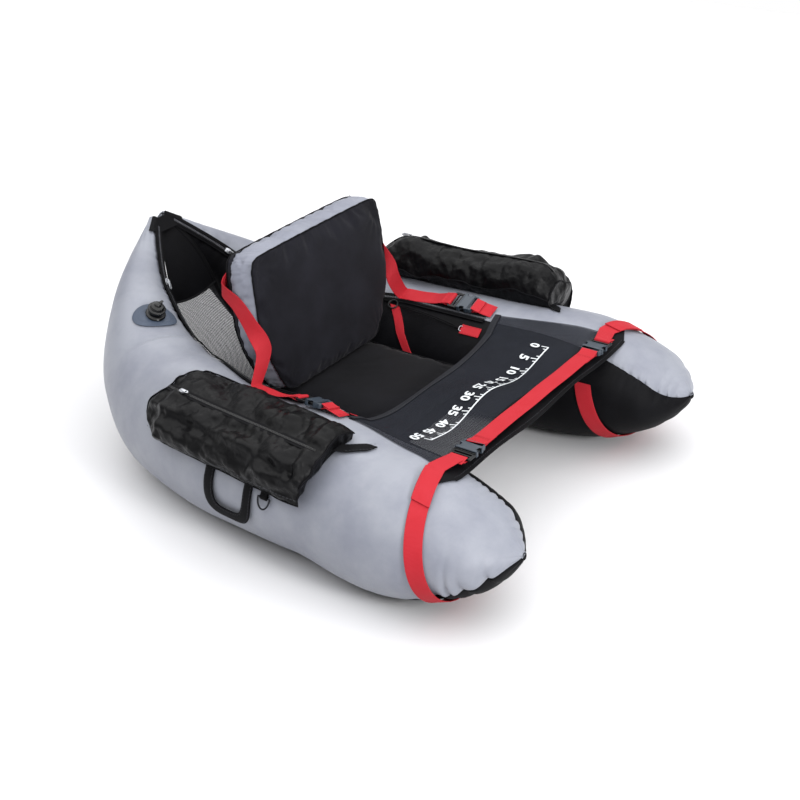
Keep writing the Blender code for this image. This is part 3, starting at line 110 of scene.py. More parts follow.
def add_node(tree: bpy.types.NodeTree, kind: str, settings: Optional[dict] = None,
             links: Optional[dict] = None) -> bpy.types.Node:
    """Add a shader node with its settings and its links.

    Args:
        tree: the material's node tree.
        kind: Blender's name of the node, without its "ShaderNode" prefix.
        settings: values by property name, or by the input's name or number.
        links: output sockets by the input's name or number.

    Returns:
        The node.
    """
    node = tree.nodes.new("ShaderNode" + kind)
    for name, value in (settings or {}).items():
        if isinstance(name, int) or name in node.inputs:
            node.inputs[name].default_value = value
        else:
            setattr(node, name, value)
    for name, socket in (links or {}).items():
        tree.links.new(socket, node.inputs[name])
    return node


@dataclass(frozen=True)
class Finish:
    """A finish: its name, main colour and the gloss of the bare material."""

    name: str
    colour: str
    roughness: float
    metallic: float = 0.0
    ior: float = 1.5
    sheen: float = 0.0

    def make(self) -> bpy.types.Material:
        """Return the finish as a material, made once."""
        material = bpy.data.materials.get(self.name)
        if material:
            return material
        material = bpy.data.materials.new(self.name)
        material.use_nodes = True
        tree = material.node_tree
        shader = tree.nodes["Principled BSDF"]
        for name, value in (("Base Color", linear(self.colour)), ("Roughness", self.roughness),
                            ("Metallic", self.metallic), ("IOR", self.ior), ("Sheen Weight", self.sheen),
                            ("Sheen Roughness", 0.45)):
            shader.inputs[name].default_value = value
        self.dress(tree, shader)
        return material

    def dress(self, tree: bpy.types.NodeTree, shader: bpy.types.Node) -> None:
        """Add what the surface's making shows; a bare finish has none."""

    def tint(self, tree: bpy.types.NodeTree, shader: bpy.types.Node, factor: bpy.types.NodeSocket,
             other: str) -> None:
        """Let the main colour turn to another where the factor is high.

        Args:
            tree: the material's node tree.
            shader: its Principled node.
            factor: what drives the change, 0 to 1.
            other: hex of the other colour.
        """
        mix = add_node(tree, "Mix", {"data_type": "RGBA", 6: linear(self.colour), 7: linear(other)},
                       {0: factor})
        tree.links.new(mix.outputs[2], shader.inputs["Base Color"])


@dataclass(frozen=True)
class WovenCloth(Finish):
    """Woven cloth: plain weave, creases, soft or crisp, and a faint unevenness of dye."""

    shade: str = "000000"
    thread_mm: float = 2.4
    thread_depth_mm: float = 0.05
    crease_mm: float = 70.0
    crease_depth_mm: float = 0.9
    crisp: bool = False

    def dress(self, tree: bpy.types.NodeTree, shader: bpy.types.Node) -> None:
        """Weave and creases in the bump; dye and wear in the colour and gloss."""
        cloth = add_node(tree, "UVMap", {"uv_map": "cloth"}).outputs[0]
        place = add_node(tree, "TexCoord").outputs["Object"]
        dye = add_node(tree, "TexNoise", {"Scale": 9.0, "Detail": 5.0, "Roughness": 0.62}, {"Vector": place})
        sharper = add_node(tree, "ValToRGB", {}, {"Fac": dye.outputs[0]})
        sharper.color_ramp.elements[0].position = 0.38
        sharper.color_ramp.elements[1].position = 0.66
        self.tint(tree, shader, sharper.outputs[0], self.shade)
        parts = add_node(tree, "SeparateXYZ", {}, {0: cloth})
        waves = []
        for axis in (0, 1):
            scaled = add_node(tree, "Math", {"operation": "MULTIPLY", 1: 2000 * math.pi / self.thread_mm},
                              {0: parts.outputs[axis]})
            waves.append(add_node(tree, "Math", {"operation": "SINE"}, {0: scaled.outputs[0]}).outputs[0])
        weave = add_node(tree, "Math", {"operation": "MULTIPLY"}, {0: waves[0], 1: waves[1]})
        if self.crisp:
            creases = add_node(tree, "TexVoronoi", {"Scale": 1000 / self.crease_mm, "Detail": 2.0},
                               {"Vector": place})
        else:
            creases = add_node(tree, "TexNoise", {"Scale": 1000 / self.crease_mm, "Detail": 2.5,
                                                  "Roughness": 0.45, "Distortion": 0.6}, {"Vector": place})
        soft = add_node(tree, "Bump", {"Distance": self.crease_depth_mm / 1000, "Strength": 0.9},
                        {"Height": creases.outputs[0]})
        fine = add_node(tree, "Bump", {"Distance": self.thread_depth_mm / 1000, "Strength": 1.0},
                        {"Height": weave.outputs[0], "Normal": soft.outputs[0]})
        tree.links.new(fine.outputs[0], shader.inputs["Normal"])
        gloss = add_node(tree, "MapRange", {"To Min": self.roughness - 0.06, "To Max": self.roughness + 0.1},
                         {"Value": dye.outputs[0]})
        tree.links.new(gloss.outputs[0], shader.inputs["Roughness"])


@dataclass(frozen=True)
class Webbing(Finish):
    """Woven strap: ribs across its length, a firm selvedge and small shifts of colour."""

    shade: str = "000000"
    rib_mm: float = 2.2
    rib_depth_mm: float = 0.22

    def dress(self, tree: bpy.types.NodeTree, shader: bpy.types.Node) -> None:
        """Ribs in the bump, and the rib crests turned to a paler colour in patches of wear: painted highlight
        on the crests, painted shade in the grooves.
        """
        cloth = add_node(tree, "UVMap", {"uv_map": "cloth"}).outputs[0]
        parts = add_node(tree, "SeparateXYZ", {}, {0: cloth})
        slant = add_node(tree, "Math", {"operation": "MULTIPLY_ADD", 1: 0.35, 2: 0.0}, {0: parts.outputs[1]})
        along = add_node(tree, "Math", {"operation": "ADD"}, {0: parts.outputs[0], 1: slant.outputs[0]})
        scaled = add_node(tree, "Math", {"operation": "MULTIPLY", 1: 2000 * math.pi / self.rib_mm},
                          {0: along.outputs[0]})
        rib = add_node(tree, "Math", {"operation": "SINE"}, {0: scaled.outputs[0]})
        height = add_node(tree, "Math", {"operation": "MULTIPLY_ADD", 1: 0.5, 2: 0.5}, {0: rib.outputs[0]})
        wear = add_node(tree, "TexNoise", {"Scale": 24.0, "Detail": 4.0}, {"Vector": cloth})
        # Paler rib crests in patches: painted highlight on the crests, leaving painted shade in the grooves.
        factor = add_node(tree, "Math", {"operation": "MULTIPLY", "use_clamp": True},
                          {0: wear.outputs[0], 1: height.outputs[0]})
        self.tint(tree, shader, factor.outputs[0], self.shade)
        bump = add_node(tree, "Bump", {"Distance": self.rib_depth_mm / 1000, "Strength": 0.8},
                        {"Height": height.outputs[0]})
        tree.links.new(bump.outputs[0], shader.inputs["Normal"])


@dataclass(frozen=True)
class OpenMesh(Finish):
    """Knitted polyester net: round threads with clear holes between them."""

    shade: str = "000000"
    hole_mm: float = 3.2
    thread_share: float = 0.6
    edge_share: float = 0.07

    def dress(self, tree: bpy.types.NodeTree, shader: bpy.types.Node) -> None:
        """Holes by transparency, threads by bump."""
        cloth = add_node(tree, "UVMap", {"uv_map": "cloth"}).outputs[0]
        parts = add_node(tree, "SeparateXYZ", {}, {0: cloth})
        turned = [add_node(tree, "Math", {"operation": kind}, {0: parts.outputs[0], 1: parts.outputs[1]})
                  for kind in ("ADD", "SUBTRACT")]
        waves = []
        for way in turned:
            rate = 1000 * math.pi / self.hole_mm / 1.414
            scaled = add_node(tree, "Math", {"operation": "MULTIPLY", 1: rate}, {0: way.outputs[0]})
            sine = add_node(tree, "Math", {"operation": "SINE"}, {0: scaled.outputs[0]})
            waves.append(add_node(tree, "Math", {"operation": "ABSOLUTE"}, {0: sine.outputs[0]}).outputs[0])
        middle = add_node(tree, "Math", {"operation": "MINIMUM"}, {0: waves[0], 1: waves[1]})
        thread = add_node(tree, "MapRange", {"From Min": self.thread_share - self.edge_share,
                                             "From Max": self.thread_share + self.edge_share,
                                             "To Min": 1.0, "To Max": 0.0}, {"Value": middle.outputs[0]})
        tree.links.new(thread.outputs[0], shader.inputs["Alpha"])
        dust = add_node(tree, "TexNoise", {"Scale": 12.0, "Detail": 6.0, "Roughness": 0.7}, {"Vector": cloth})
        self.tint(tree, shader, dust.outputs[0], self.shade)
        bump = add_node(tree, "Bump", {"Distance": 0.0004, "Strength": 0.7}, {"Height": thread.outputs[0]})
        tree.links.new(bump.outputs[0], shader.inputs["Normal"])


@dataclass(frozen=True)
class Moulded(Finish):
    """Injection-moulded plastic: a fine spark-eroded grain and paler high spots from handling; on the grey
    zip coil the paler colour is a painted glint.
    """

    rubbed: str = "FFFFFF"
    grain_mm: float = 0.9
    grain_depth_mm: float = 0.03

    def dress(self, tree: bpy.types.NodeTree, shader: bpy.types.Node) -> None:
        """Grain in the bump, handling marks in the colour and gloss; on the grey zip coil these paler marks
        are a painted glint.
        """
        place = add_node(tree, "TexCoord").outputs["Object"]
        marks = add_node(tree, "TexNoise", {"Scale": 60.0, "Detail": 4.0, "Roughness": 0.7},
                         {"Vector": place})
        worn_and_glint = add_node(tree, "MapRange", {"From Min": 0.5, "From Max": 0.8, "To Max": 0.5},
                        {"Value": marks.outputs[0]})
        self.tint(tree, shader, worn_and_glint.outputs[0], self.rubbed)
        grain = add_node(tree, "TexNoise", {"Scale": 1000 / self.grain_mm, "Detail": 1.0}, {"Vector": place})
        bump = add_node(tree, "Bump", {"Distance": self.grain_depth_mm / 1000, "Strength": 0.6},
                        {"Height": grain.outputs[0]})
        tree.links.new(bump.outputs[0], shader.inputs["Normal"])
        gloss = add_node(tree, "MapRange", {"To Min": self.roughness - 0.05, "To Max": self.roughness + 0.12},
                         {"Value": marks.outputs[0]})
        tree.links.new(gloss.outputs[0], shader.inputs["Roughness"])


@dataclass(frozen=True)
class CastMetal(Finish):
    """Zinc, plated or blacked after tumbling: soft pits and a cloudy polish."""

    pit_mm: float = 3.0

    def dress(self, tree: bpy.types.NodeTree, shader: bpy.types.Node) -> None:
        """Pits in the bump, clouds in the gloss."""
        place = add_node(tree, "TexCoord").outputs["Object"]
        pits = add_node(tree, "TexNoise", {"Scale": 1000 / self.pit_mm, "Detail": 3.0}, {"Vector": place})
        bump = add_node(tree, "Bump", {"Distance": 0.0002, "Strength": 0.5}, {"Height": pits.outputs[0]})
        tree.links.new(bump.outputs[0], shader.inputs["Normal"])
        gloss = add_node(tree, "MapRange", {"To Min": self.roughness - 0.1, "To Max": self.roughness + 0.15},
                         {"Value": pits.outputs[0]})
        tree.links.new(gloss.outputs[0], shader.inputs["Roughness"])


# 420-denier nylon with a clear polyurethane coat: a fine dry weave with a soft silver gleam.  Its
# 0.6 mm threads are drawn four times as coarse, so that they show at all.
HULL_NYLON = WovenCloth("coated_nylon_silver", "83868F", 0.42, ior=1.42, sheen=0.05, shade="757883",
                        crease_mm=95, crease_depth_mm=1.9)
# The same cloth dyed black, duller and a little blue in the light
BLACK_NYLON = WovenCloth("coated_nylon_black", "08080A", 0.55, ior=1.16, shade="0E0E11",
                         crease_mm=60, crease_depth_mm=1.6)
# 600-denier polyester on the cushions: a matt, coarser weave over foam
CUSHION_CLOTH = WovenCloth("polyester_cushion_cover", "121217", 0.7, ior=1.18, sheen=0.05, shade="1A1A20",
                           crease_mm=110, crease_depth_mm=2.2)
# The seat wears the same cloth, coloured darker and reflecting a little less: painted shade of the low well
# it sits in, so it reads nearly black.
SHADED_SEAT_CLOTH = WovenCloth("polyester_seat_cover", "0A0A0D", 0.7, ior=1.14, sheen=0.05, shade="101014",
                           crease_mm=110, crease_depth_mm=2.2)
# The hull's silver cloth again, coloured a little darker as painted shade on the backrest's sides, cut small
# and drawn tight round the backrest, so its creases are short
SHADED_BORDER_CLOTH = WovenCloth("coated_nylon_border", "7F828D", 0.5, ior=1.4, sheen=0.05, shade="727581",
                          crease_mm=50, crease_depth_mm=1.6)
# Bag cloth: thin coated oxford, which crumples and catches the light on its folds
BAG_CLOTH = WovenCloth("coated_oxford_black", "050506", 0.36, ior=1.22, shade="08080A",
                       crease_mm=52, crease_depth_mm=5.5, crisp=True)
# Ribbed polyester webbing, piece-dyed red, its 1.1 mm ribs drawn twice as coarse
RED_WEBBING = Webbing("polyester_webbing_red", "A01D26", 0.62, ior=1.22, shade="AE303A")
# The same webbing dyed black: its ribs show only where the light grazes them
BLACK_WEBBING = Webbing("polyester_webbing_black", "08080A", 0.65, ior=1.18, shade="101013")
# Thin woven tape that binds the net's hem: dull, a shade paler than the net
GREY_TAPE = Webbing("polyester_hem_tape_grey", "1D1E22", 0.7, ior=1.2, shade="2A2B30")
# Nylon coil zip: glossy round teeth on a matt tape; the teeth are coloured grey with paler patches, a painted
# glint along the black zip
ZIP_COIL_PAINTED_GLINT = Moulded("moulded_nylon_zip_coil", "3C3D42", 0.3, rubbed="77787E")
# The same coil moulded black, for the bags: each tooth shows by its own small gleam
BLACK_COIL = Moulded("moulded_nylon_zip_coil_black", "0B0B0D", 0.3, rubbed="1B1B1E")
# Raschel-knit nets: 1.5 mm holes drawn about twice as wide, so that the eye reads a mesh
APRON_NET = OpenMesh("knitted_polyester_apron_net", "12141A", 0.7, ior=1.24, shade="1F222B", hole_mm=2.6,
                     thread_share=0.72)
# The stern's net is knitted coarser of a duller yarn, so more dark shows between its threads
STERN_NET = OpenMesh("knitted_polyester_stern_net", "17171A", 0.8, ior=1.2, shade="222226", hole_mm=3.4,
                     thread_share=0.74)
# Moulded acetal: satin, slightly blue-grey, polished where hands rub it
ACETAL_GREY = Moulded("moulded_acetal_slate", "2A333D", 0.38, rubbed="3C4650")
# The same moulding in black: all that shows of it is a satin gleam along its rounded edges
ACETAL_BLACK = Moulded("moulded_acetal_black", "08090B", 0.36, ior=1.35, rubbed="15171A")
# Glossy soft PVC of the air valves
VALVE_PVC = Moulded("moulded_pvc_black", "050607", 0.2, ior=1.4, rubbed="0C0D0F",
                    grain_depth_mm=0.01)
# Patch welded from PVC-coated cloth: a satin, slightly blue skin
PATCH_PVC = WovenCloth("welded_pvc_patch", "384150", 0.42, ior=1.35, shade="414B5B",
                       crease_mm=40, crease_depth_mm=0.5)
# Die-cast zip sliders under bright nickel: mirror-like, clouded by tumbling
PLATED_ZINC = CastMetal("diecast_zinc_nickel_plate", "A9ABB0", 0.3, metallic=1.0)
# Welded rings: zinc blacked in a bath, satin, so that only their edges glint
BLACK_ZINC = CastMetal("blacked_zinc", "2A2B2F", 0.42, metallic=1.0)
# Screen-printed plastisol ink: an even, slightly raised white film
WHITE_INK = Finish("plastisol_ink_white", "C9CDD0", 0.55)
# Bonded sewing thread, satin and plain: a stitch is too small to show its twist
GREY_THREAD = Finish("bonded_nylon_thread_grey", "34363C", 0.6)
# The same thread dyed black, glossy enough to part a stitch from the cloth it lies in
BLACK_THREAD = Finish("bonded_nylon_thread_black", "0A0A0C", 0.55, ior=1.2)
# The same thread dyed to match the webbing, smoother than the ribs that it crosses
RED_THREAD = Finish("bonded_nylon_thread_red", "9A1E26", 0.6, ior=1.3)
# Seamless painted studio floor
STUDIO_PAINT = Finish("matt_emulsion_paint", "D2D2D4", 0.9)


# Shapes

def spaced(first: float, last: float, steps: int) -> np.ndarray:
    """Evenly spaced values from first to last."""
    return np.linspace(first, last, steps + 1)


def tightened(steps: int) -> np.ndarray:
    """Places from 0 to 1 that lie closer together towards both ends."""
    share = spaced(0, 1, steps)
    return (share + (1 - np.cos(np.pi * share)) / 2) / 2


def unit(vectors: np.ndarray) -> np.ndarray:
    """Vectors scaled to a length of one."""
    return vectors / np.maximum(np.linalg.norm(vectors, axis=-1, keepdims=True), 1e-12)


def ramp(value: np.ndarray, low: float, high: float) -> np.ndarray:
    """Smooth rise from 0 at low to 1 at high, or a fall where low is above high."""
    t = np.clip((np.asarray(value, float) - low) / (high - low), 0, 1)
    return t * t * (3 - 2 * t)


class Curve:
    """A smooth curve through values at given places, which never overshoots them."""

    def __init__(self, places: Sequence[float], values: Sequence[float]) -> None:
        """Work out the slopes.

        Args:
            places: rising places.
            values: the value at each.
        """
        self.places = np.asarray(places, float)
        self.values = np.asarray(values, float)
        runs = np.diff(self.places)
        rates = np.diff(self.values) / runs
        slopes = np.zeros(len(self.places))
        for k in range(1, len(runs)):
            if rates[k - 1] * rates[k] > 0:
                near, far = 2 * runs[k] + runs[k - 1], runs[k] + 2 * runs[k - 1]
                slopes[k] = (near + far) / (near / rates[k - 1] + far / rates[k])
        slopes[0] = self.end_slope(runs[0], runs[1], rates[0], rates[1])
        slopes[-1] = self.end_slope(runs[-1], runs[-2], rates[-1], rates[-2])
        self.slopes = slopes

    @staticmethod
    def end_slope(run: float, next_run: float, rate: float, next_rate: float) -> float:
        """Slope at an end, from the two stretches next to it."""
        slope = ((2 * run + next_run) * rate - run * next_rate) / (run + next_run)
        if slope * rate <= 0:
            return 0.0
        if rate * next_rate < 0 and abs(slope) > 3 * abs(rate):
            return 3 * rate
        return slope

    def at(self, place: np.ndarray) -> np.ndarray:
        """Values at places, held within the curve's ends."""
        place = np.clip(place, self.places[0], self.places[-1])
        k = np.clip(np.searchsorted(self.places, place) - 1, 0, len(self.places) - 2)
        run = self.places[k + 1] - self.places[k]
        t = (place - self.places[k]) / run
        return ((1 + 2 * t) * (1 - t) ** 2 * self.values[k] + t * (1 - t) ** 2 * run * self.slopes[k]
                + t * t * (3 - 2 * t) * self.values[k + 1] + t * t * (t - 1) * run * self.slopes[k + 1])


class Shell:
    """A mesh put together from grids of points, each with its own finish and cloth lengths."""

    def __init__(self) -> None:
        """Start with nothing."""
        self.points: list[np.ndarray] = []
        self.faces: list[tuple[int, ...]] = []
        self.lengths: list[np.ndarray] = []
        self.marks: list[int] = []
        self.count = 0

    def grid(self, points: np.ndarray, finish: int = 0, wrap: bool = False) -> None:
        """Add a sheet of points.

        Args:
            points: rows by columns by three.
            finish: number of its finish.
            wrap: whether the last column joins the first.
        """
        if wrap:
            points = np.concatenate([points, points[:, :1]], axis=1)
        rows, columns = points.shape[:2]
        middle = columns // 2
        down = run_along(points[:, middle])
        steps = np.linalg.norm(np.diff(points, axis=1), axis=2)
        over = np.concatenate([np.zeros((rows, 1)), np.cumsum(steps, axis=1)], axis=1)
        over = over - over[:, middle:middle + 1]
        lengths = np.stack([np.broadcast_to(down[:, None], over.shape), over], axis=-1)
        index = np.arange(rows * columns).reshape(rows, columns) + self.count
        quads = np.stack([index[:-1, :-1], index[1:, :-1], index[1:, 1:], index[:-1, 1:]], axis=-1)
        self.add(points.reshape(-1, 3), quads.reshape(-1, 4).tolist(), lengths.reshape(-1, 2), finish)

    def add(self, points: np.ndarray, faces: Sequence[Sequence[int]], lengths: np.ndarray,
            finish: int = 0) -> None:
        """Add ready points, faces that count from the shell's start, and cloth lengths."""
        self.points.append(np.asarray(points, float))
        self.lengths.append(np.asarray(lengths, float))
        self.faces.extend(tuple(face) for face in faces)
        self.marks.extend([finish] * len(faces))
        self.count += len(points)

    def part(self, points: np.ndarray, faces: Sequence[Sequence[int]], finish: int = 0,
             place: Optional[Matrix] = None) -> None:
        """Add a ready form, moved by a matrix where one is given."""
        lengths = np.asarray(points, float)[:, :2]
        spots = points if place is None else moved(place, points)
        self.add(spots, [[self.count + k for k in face] for face in faces], lengths, finish)

    def lid(self, ring: np.ndarray, finish: int = 0) -> None:
        """Close a ring of points with one flat face."""
        start = self.count
        self.add(ring, [range(start, start + len(ring))], ring[:, :2] - ring[0, :2], finish)

    def slab(self, under: np.ndarray, over: np.ndarray, finish: int = 0) -> None:
        """Add two equal sheets and the four edges that close them."""
        self.grid(over, finish)
        self.grid(under, finish)
        for edge in (np.s_[:, 0], np.s_[:, -1], np.s_[0], np.s_[-1]):
            self.grid(np.stack([under[edge], over[edge]], axis=1), finish)

    def sweep(self, centres: np.ndarray, across: np.ndarray, section: np.ndarray, finish: int = 0,
              normals: Optional[np.ndarray] = None, closed: bool = False) -> None:
        """Draw a section along a route.

        Args:
            centres: points of the route.
            across: direction of the section's first axis at each point.
            section: closed outline as (across, up) pairs, or one outline for each point.
            finish: number of its finish.
            normals: direction of the second axis; square to an open route where not given.
            closed: whether the route joins its own start.
        """
        centres = np.asarray(centres, float)
        across = unit(np.broadcast_to(np.asarray(across, float), centres.shape))
        if normals is None:
            normals = unit(np.cross(np.gradient(centres, axis=0), across))
        normals = np.broadcast_to(normals, centres.shape)
        section = np.broadcast_to(section, (len(centres), *np.shape(section)[-2:]))
        rings = centres[:, None] + across[:, None] * section[..., :1] + normals[:, None] * section[..., 1:]
        if closed:
            rings = np.concatenate([rings, rings[:1]])
        self.grid(rings, finish, wrap=True)
        if not closed:
            self.lid(rings[0], finish)
            self.lid(rings[-1], finish)

    def build(self, name: str, finishes: Sequence[Finish], sharp: float = 40.0) -> bpy.types.Object:
        """Make the object.

        Args:
            name: its name.
            finishes: its finishes, in the order of their numbers.
            sharp: angle above which an edge shows.

        Returns:
            The object, linked to the scene.
        """
        mesh = bpy.data.meshes.new(name)
        mesh.from_pydata(np.concatenate(self.points).tolist(), [], self.faces)
        for finish in finishes:
            mesh.materials.append(finish.make())
        mesh.polygons.foreach_set("material_index", self.marks)
        layer = mesh.uv_layers.new(name="cloth")
        corners = np.empty(len(mesh.loops), np.int32)
        mesh.loops.foreach_get("vertex_index", corners)
        layer.data.foreach_set("uv", np.concatenate(self.lengths)[corners].ravel())
        bm = bmesh.new()
        bm.from_mesh(mesh)
        bmesh.ops.remove_doubles(bm, verts=bm.verts, dist=MERGE)
        bmesh.ops.recalc_face_normals(bm, faces=bm.faces)
        bm.to_mesh(mesh)
        bm.free()
        mesh.shade_smooth()
        mesh.set_sharp_from_angle(angle=math.radians(sharp))
        item = bpy.data.objects.new(name, mesh)
        bpy.context.scene.collection.objects.link(item)
        return item


def flat_section(width: float, thickness: float, steps: int = 6) -> np.ndarray:
    """Outline of a strap's section, with rounded edges."""
    reach = width / 2
    tops = [(x, thickness / 2) for x in spaced(-reach + thickness / 2, reach - thickness / 2, steps)]
    return np.array([(-reach, 0.0), *tops, (reach, 0.0), *[(x, -y) for x, y in reversed(tops)]])


def round_section(radius: float, steps: int = 10, wide: float = 1.0) -> np.ndarray:
    """Outline of a round or oval section."""
    turn = np.arange(steps) * 2 * math.pi / steps
    return np.stack([radius * wide * np.cos(turn), radius * np.sin(turn)], axis=1)


def run_along(points: np.ndarray) -> np.ndarray:
    """Length of a route up to each of its points."""
    return np.r_[0, np.cumsum(np.linalg.norm(np.diff(points, axis=0), axis=1))]


def resampled(points: Sequence, steps: int) -> np.ndarray:
    """The same route, cut into equal lengths along smooth curves."""
    points = np.asarray(points, float)
    run = run_along(points)
    places = spaced(0, run[-1], steps)
    return np.stack([Curve(run, points[:, axis]).at(places) for axis in range(points.shape[1])], axis=1)


def moved(matrix: Matrix, points: np.ndarray) -> np.ndarray:
    """Points taken through a matrix."""
    m = np.array(matrix)
    return np.asarray(points, float) @ m[:3, :3].T + m[:3, 3]


def coordinates(mesh: bpy.types.Mesh) -> np.ndarray:
    """All points of a mesh."""
    found = np.empty(len(mesh.vertices) * 3, np.float32)
    mesh.vertices.foreach_get("co", found)
    return found.reshape(-1, 3).astype(float)


def reshape(mesh: bpy.types.Mesh, points: np.ndarray) -> None:
    """Move all points of a mesh."""
    mesh.vertices.foreach_set("co", points.astype(np.float32).ravel())
    mesh.update()


def direction(seat: Matrix, *way: float) -> np.ndarray:
    """A direction turned by a matrix."""
    return np.array(seat.to_3x3()) @ way


def mirrored(half: Sequence) -> list[tuple[float, float]]:
    """Closed outline from the half of it on one side of the first axis."""
    return [*half, *[(x, -y) for x, y in reversed(half)]]


def filled(data: bpy.types.Curve) -> tuple[np.ndarray, list[list[int]]]:
    """Points and faces of a filled curve or text, which is taken away again."""
    item = bpy.data.objects.new(data.name, data)
    bpy.context.scene.collection.objects.link(item)
    graph = bpy.context.evaluated_depsgraph_get()
    mesh = bpy.data.meshes.new_from_object(item.evaluated_get(graph), depsgraph=graph)
    points, faces = coordinates(mesh), [list(face.vertices) for face in mesh.polygons]
    bpy.data.objects.remove(item)
    bpy.data.curves.remove(data)
    bpy.data.meshes.remove(mesh)
    return points, faces


def smooth(item: bpy.types.Object) -> None:
    """Subdivide the item once, smoothly."""
    modifier = item.modifiers.new("smooth", "SUBSURF")
    modifier.levels = modifier.render_levels = 1
    modifier.boundary_smooth = "PRESERVE_CORNERS"
    graph = bpy.context.evaluated_depsgraph_get()
    mesh = bpy.data.meshes.new_from_object(item.evaluated_get(graph), depsgraph=graph)
    mesh.name = item.name
    item.modifiers.clear()
    item.data = mesh


def inflate(item: bpy.types.Object, pressure: float, cap: float, still: Sequence[int],
            slack: float) -> None:
    """Stuff a closed cloth shell with air and keep the shape that it takes.

    Args:
        item: the shell.
        pressure: force of the stuffing.
        cap: the furthest that a point may move.
        still: points that the seams hold in place.
        slack: share by which the cloth is cut larger than the shell.
    """
    rest = coordinates(item.data)
    cloth = item.modifiers.new("stuffing", "CLOTH")
    for name, value in CLOTH.items():
        setattr(cloth.settings, name, value)
    cloth.settings.shrink_min = -slack
    cloth.settings.uniform_pressure_force = pressure
    cloth.settings.effector_weights.gravity = 0
    cloth.collision_settings.use_collision = False
    item.vertex_groups.new(name="seams").add([int(k) for k in still], 1.0, "REPLACE")
    cloth.settings.vertex_group_mass = "seams"
    scene = bpy.context.scene
    for number in range(1, CLOTH_FRAMES + 1):
        scene.frame_set(number)
    graph = bpy.context.evaluated_depsgraph_get()
    found = coordinates(item.evaluated_get(graph).data)
    item.modifiers.remove(cloth)
    scene.frame_set(1)
    shift = found - rest
    size = np.linalg.norm(shift, axis=1, keepdims=True)
    reshape(item.data, rest + shift * np.minimum(1, cap / np.maximum(size, 1e-9)))


def nearest(places: np.ndarray, wanted: np.ndarray) -> np.ndarray:
    """Number of the place that lies nearest to each wanted point."""
    return np.array([int(np.argmin(((places - point) ** 2).sum(axis=1))) for point in wanted])


def coons(foot: np.ndarray, right: np.ndarray, head: np.ndarray, left: np.ndarray) -> np.ndarray:
    """Fill four joined edges with an even sheet of points.

    Args:
        foot: points from the first corner to the second.
        right: from the second corner up to the third.
        head: from the fourth corner to the third.
        left: from the first corner up to the fourth.

    Returns:
        Rows by columns by three, the first row being the foot.
    """
    u = spaced(0, 1, len(foot) - 1)[None, :, None]
    v = spaced(0, 1, len(right) - 1)[:, None, None]
    flat = (1 - v) * foot[None] + v * head[None] + (1 - u) * left[:, None] + u * right[:, None]
    corners = ((1 - u) * (1 - v) * foot[0] + u * (1 - v) * foot[-1]
               + (1 - u) * v * head[0] + u * v * head[-1])
    return flat - corners


def sew(shell: Shell, route: np.ndarray, ups: np.ndarray, finish: int, length: float = 0.0045,
        gap: float = 0.0025, thick: float = 0.0007) -> None:
    """Lay a row of stitches along a route.

    Args:
        shell: where the stitches go.
        route: points that the row follows.
        ups: direction out of the cloth, one or one for each point.
        finish: number of the thread's finish.
        length: length of a stitch.
        gap: space between two stitches.
        thick: thickness of the thread.
    """
    run = run_along(route)
    ups = np.broadcast_to(ups, route.shape)
    for start in np.arange(0, run[-1] - length, length + gap):
        places = start + length * np.array([0.0, 0.3, 0.7, 1.0])
        spots = np.stack([np.interp(places, run, route[:, axis]) for axis in range(3)], axis=1)
        up = unit(np.array([np.interp(places[1], run, ups[:, axis]) for axis in range(3)]))
        ahead = unit(spots[-1] - spots[0])
        aside = np.cross(ahead, up)
        for spot, size in zip(spots, (0.2, 1.0, 1.0, 0.2)):
            spot += up * thick * (size - 0.6)
        ring = np.stack([aside, up, -aside, -up]) * thick / 2
        rings = spots[:, None] + ring[None] * np.array([0.4, 1.0, 1.0, 0.4])[:, None, None]
        shell.grid(rings, finish, wrap=True)


def place_piece(item: bpy.types.Object, body: str, slot: str, *nodes: str) -> bpy.types.Object:
    """Let a piece ride on its body, in place of the nodes it stands for."""
    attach(item, body)
    if nodes:
        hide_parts(*nodes)
    log.info("made %s", item.name)
    return item


# The tubes' own shape

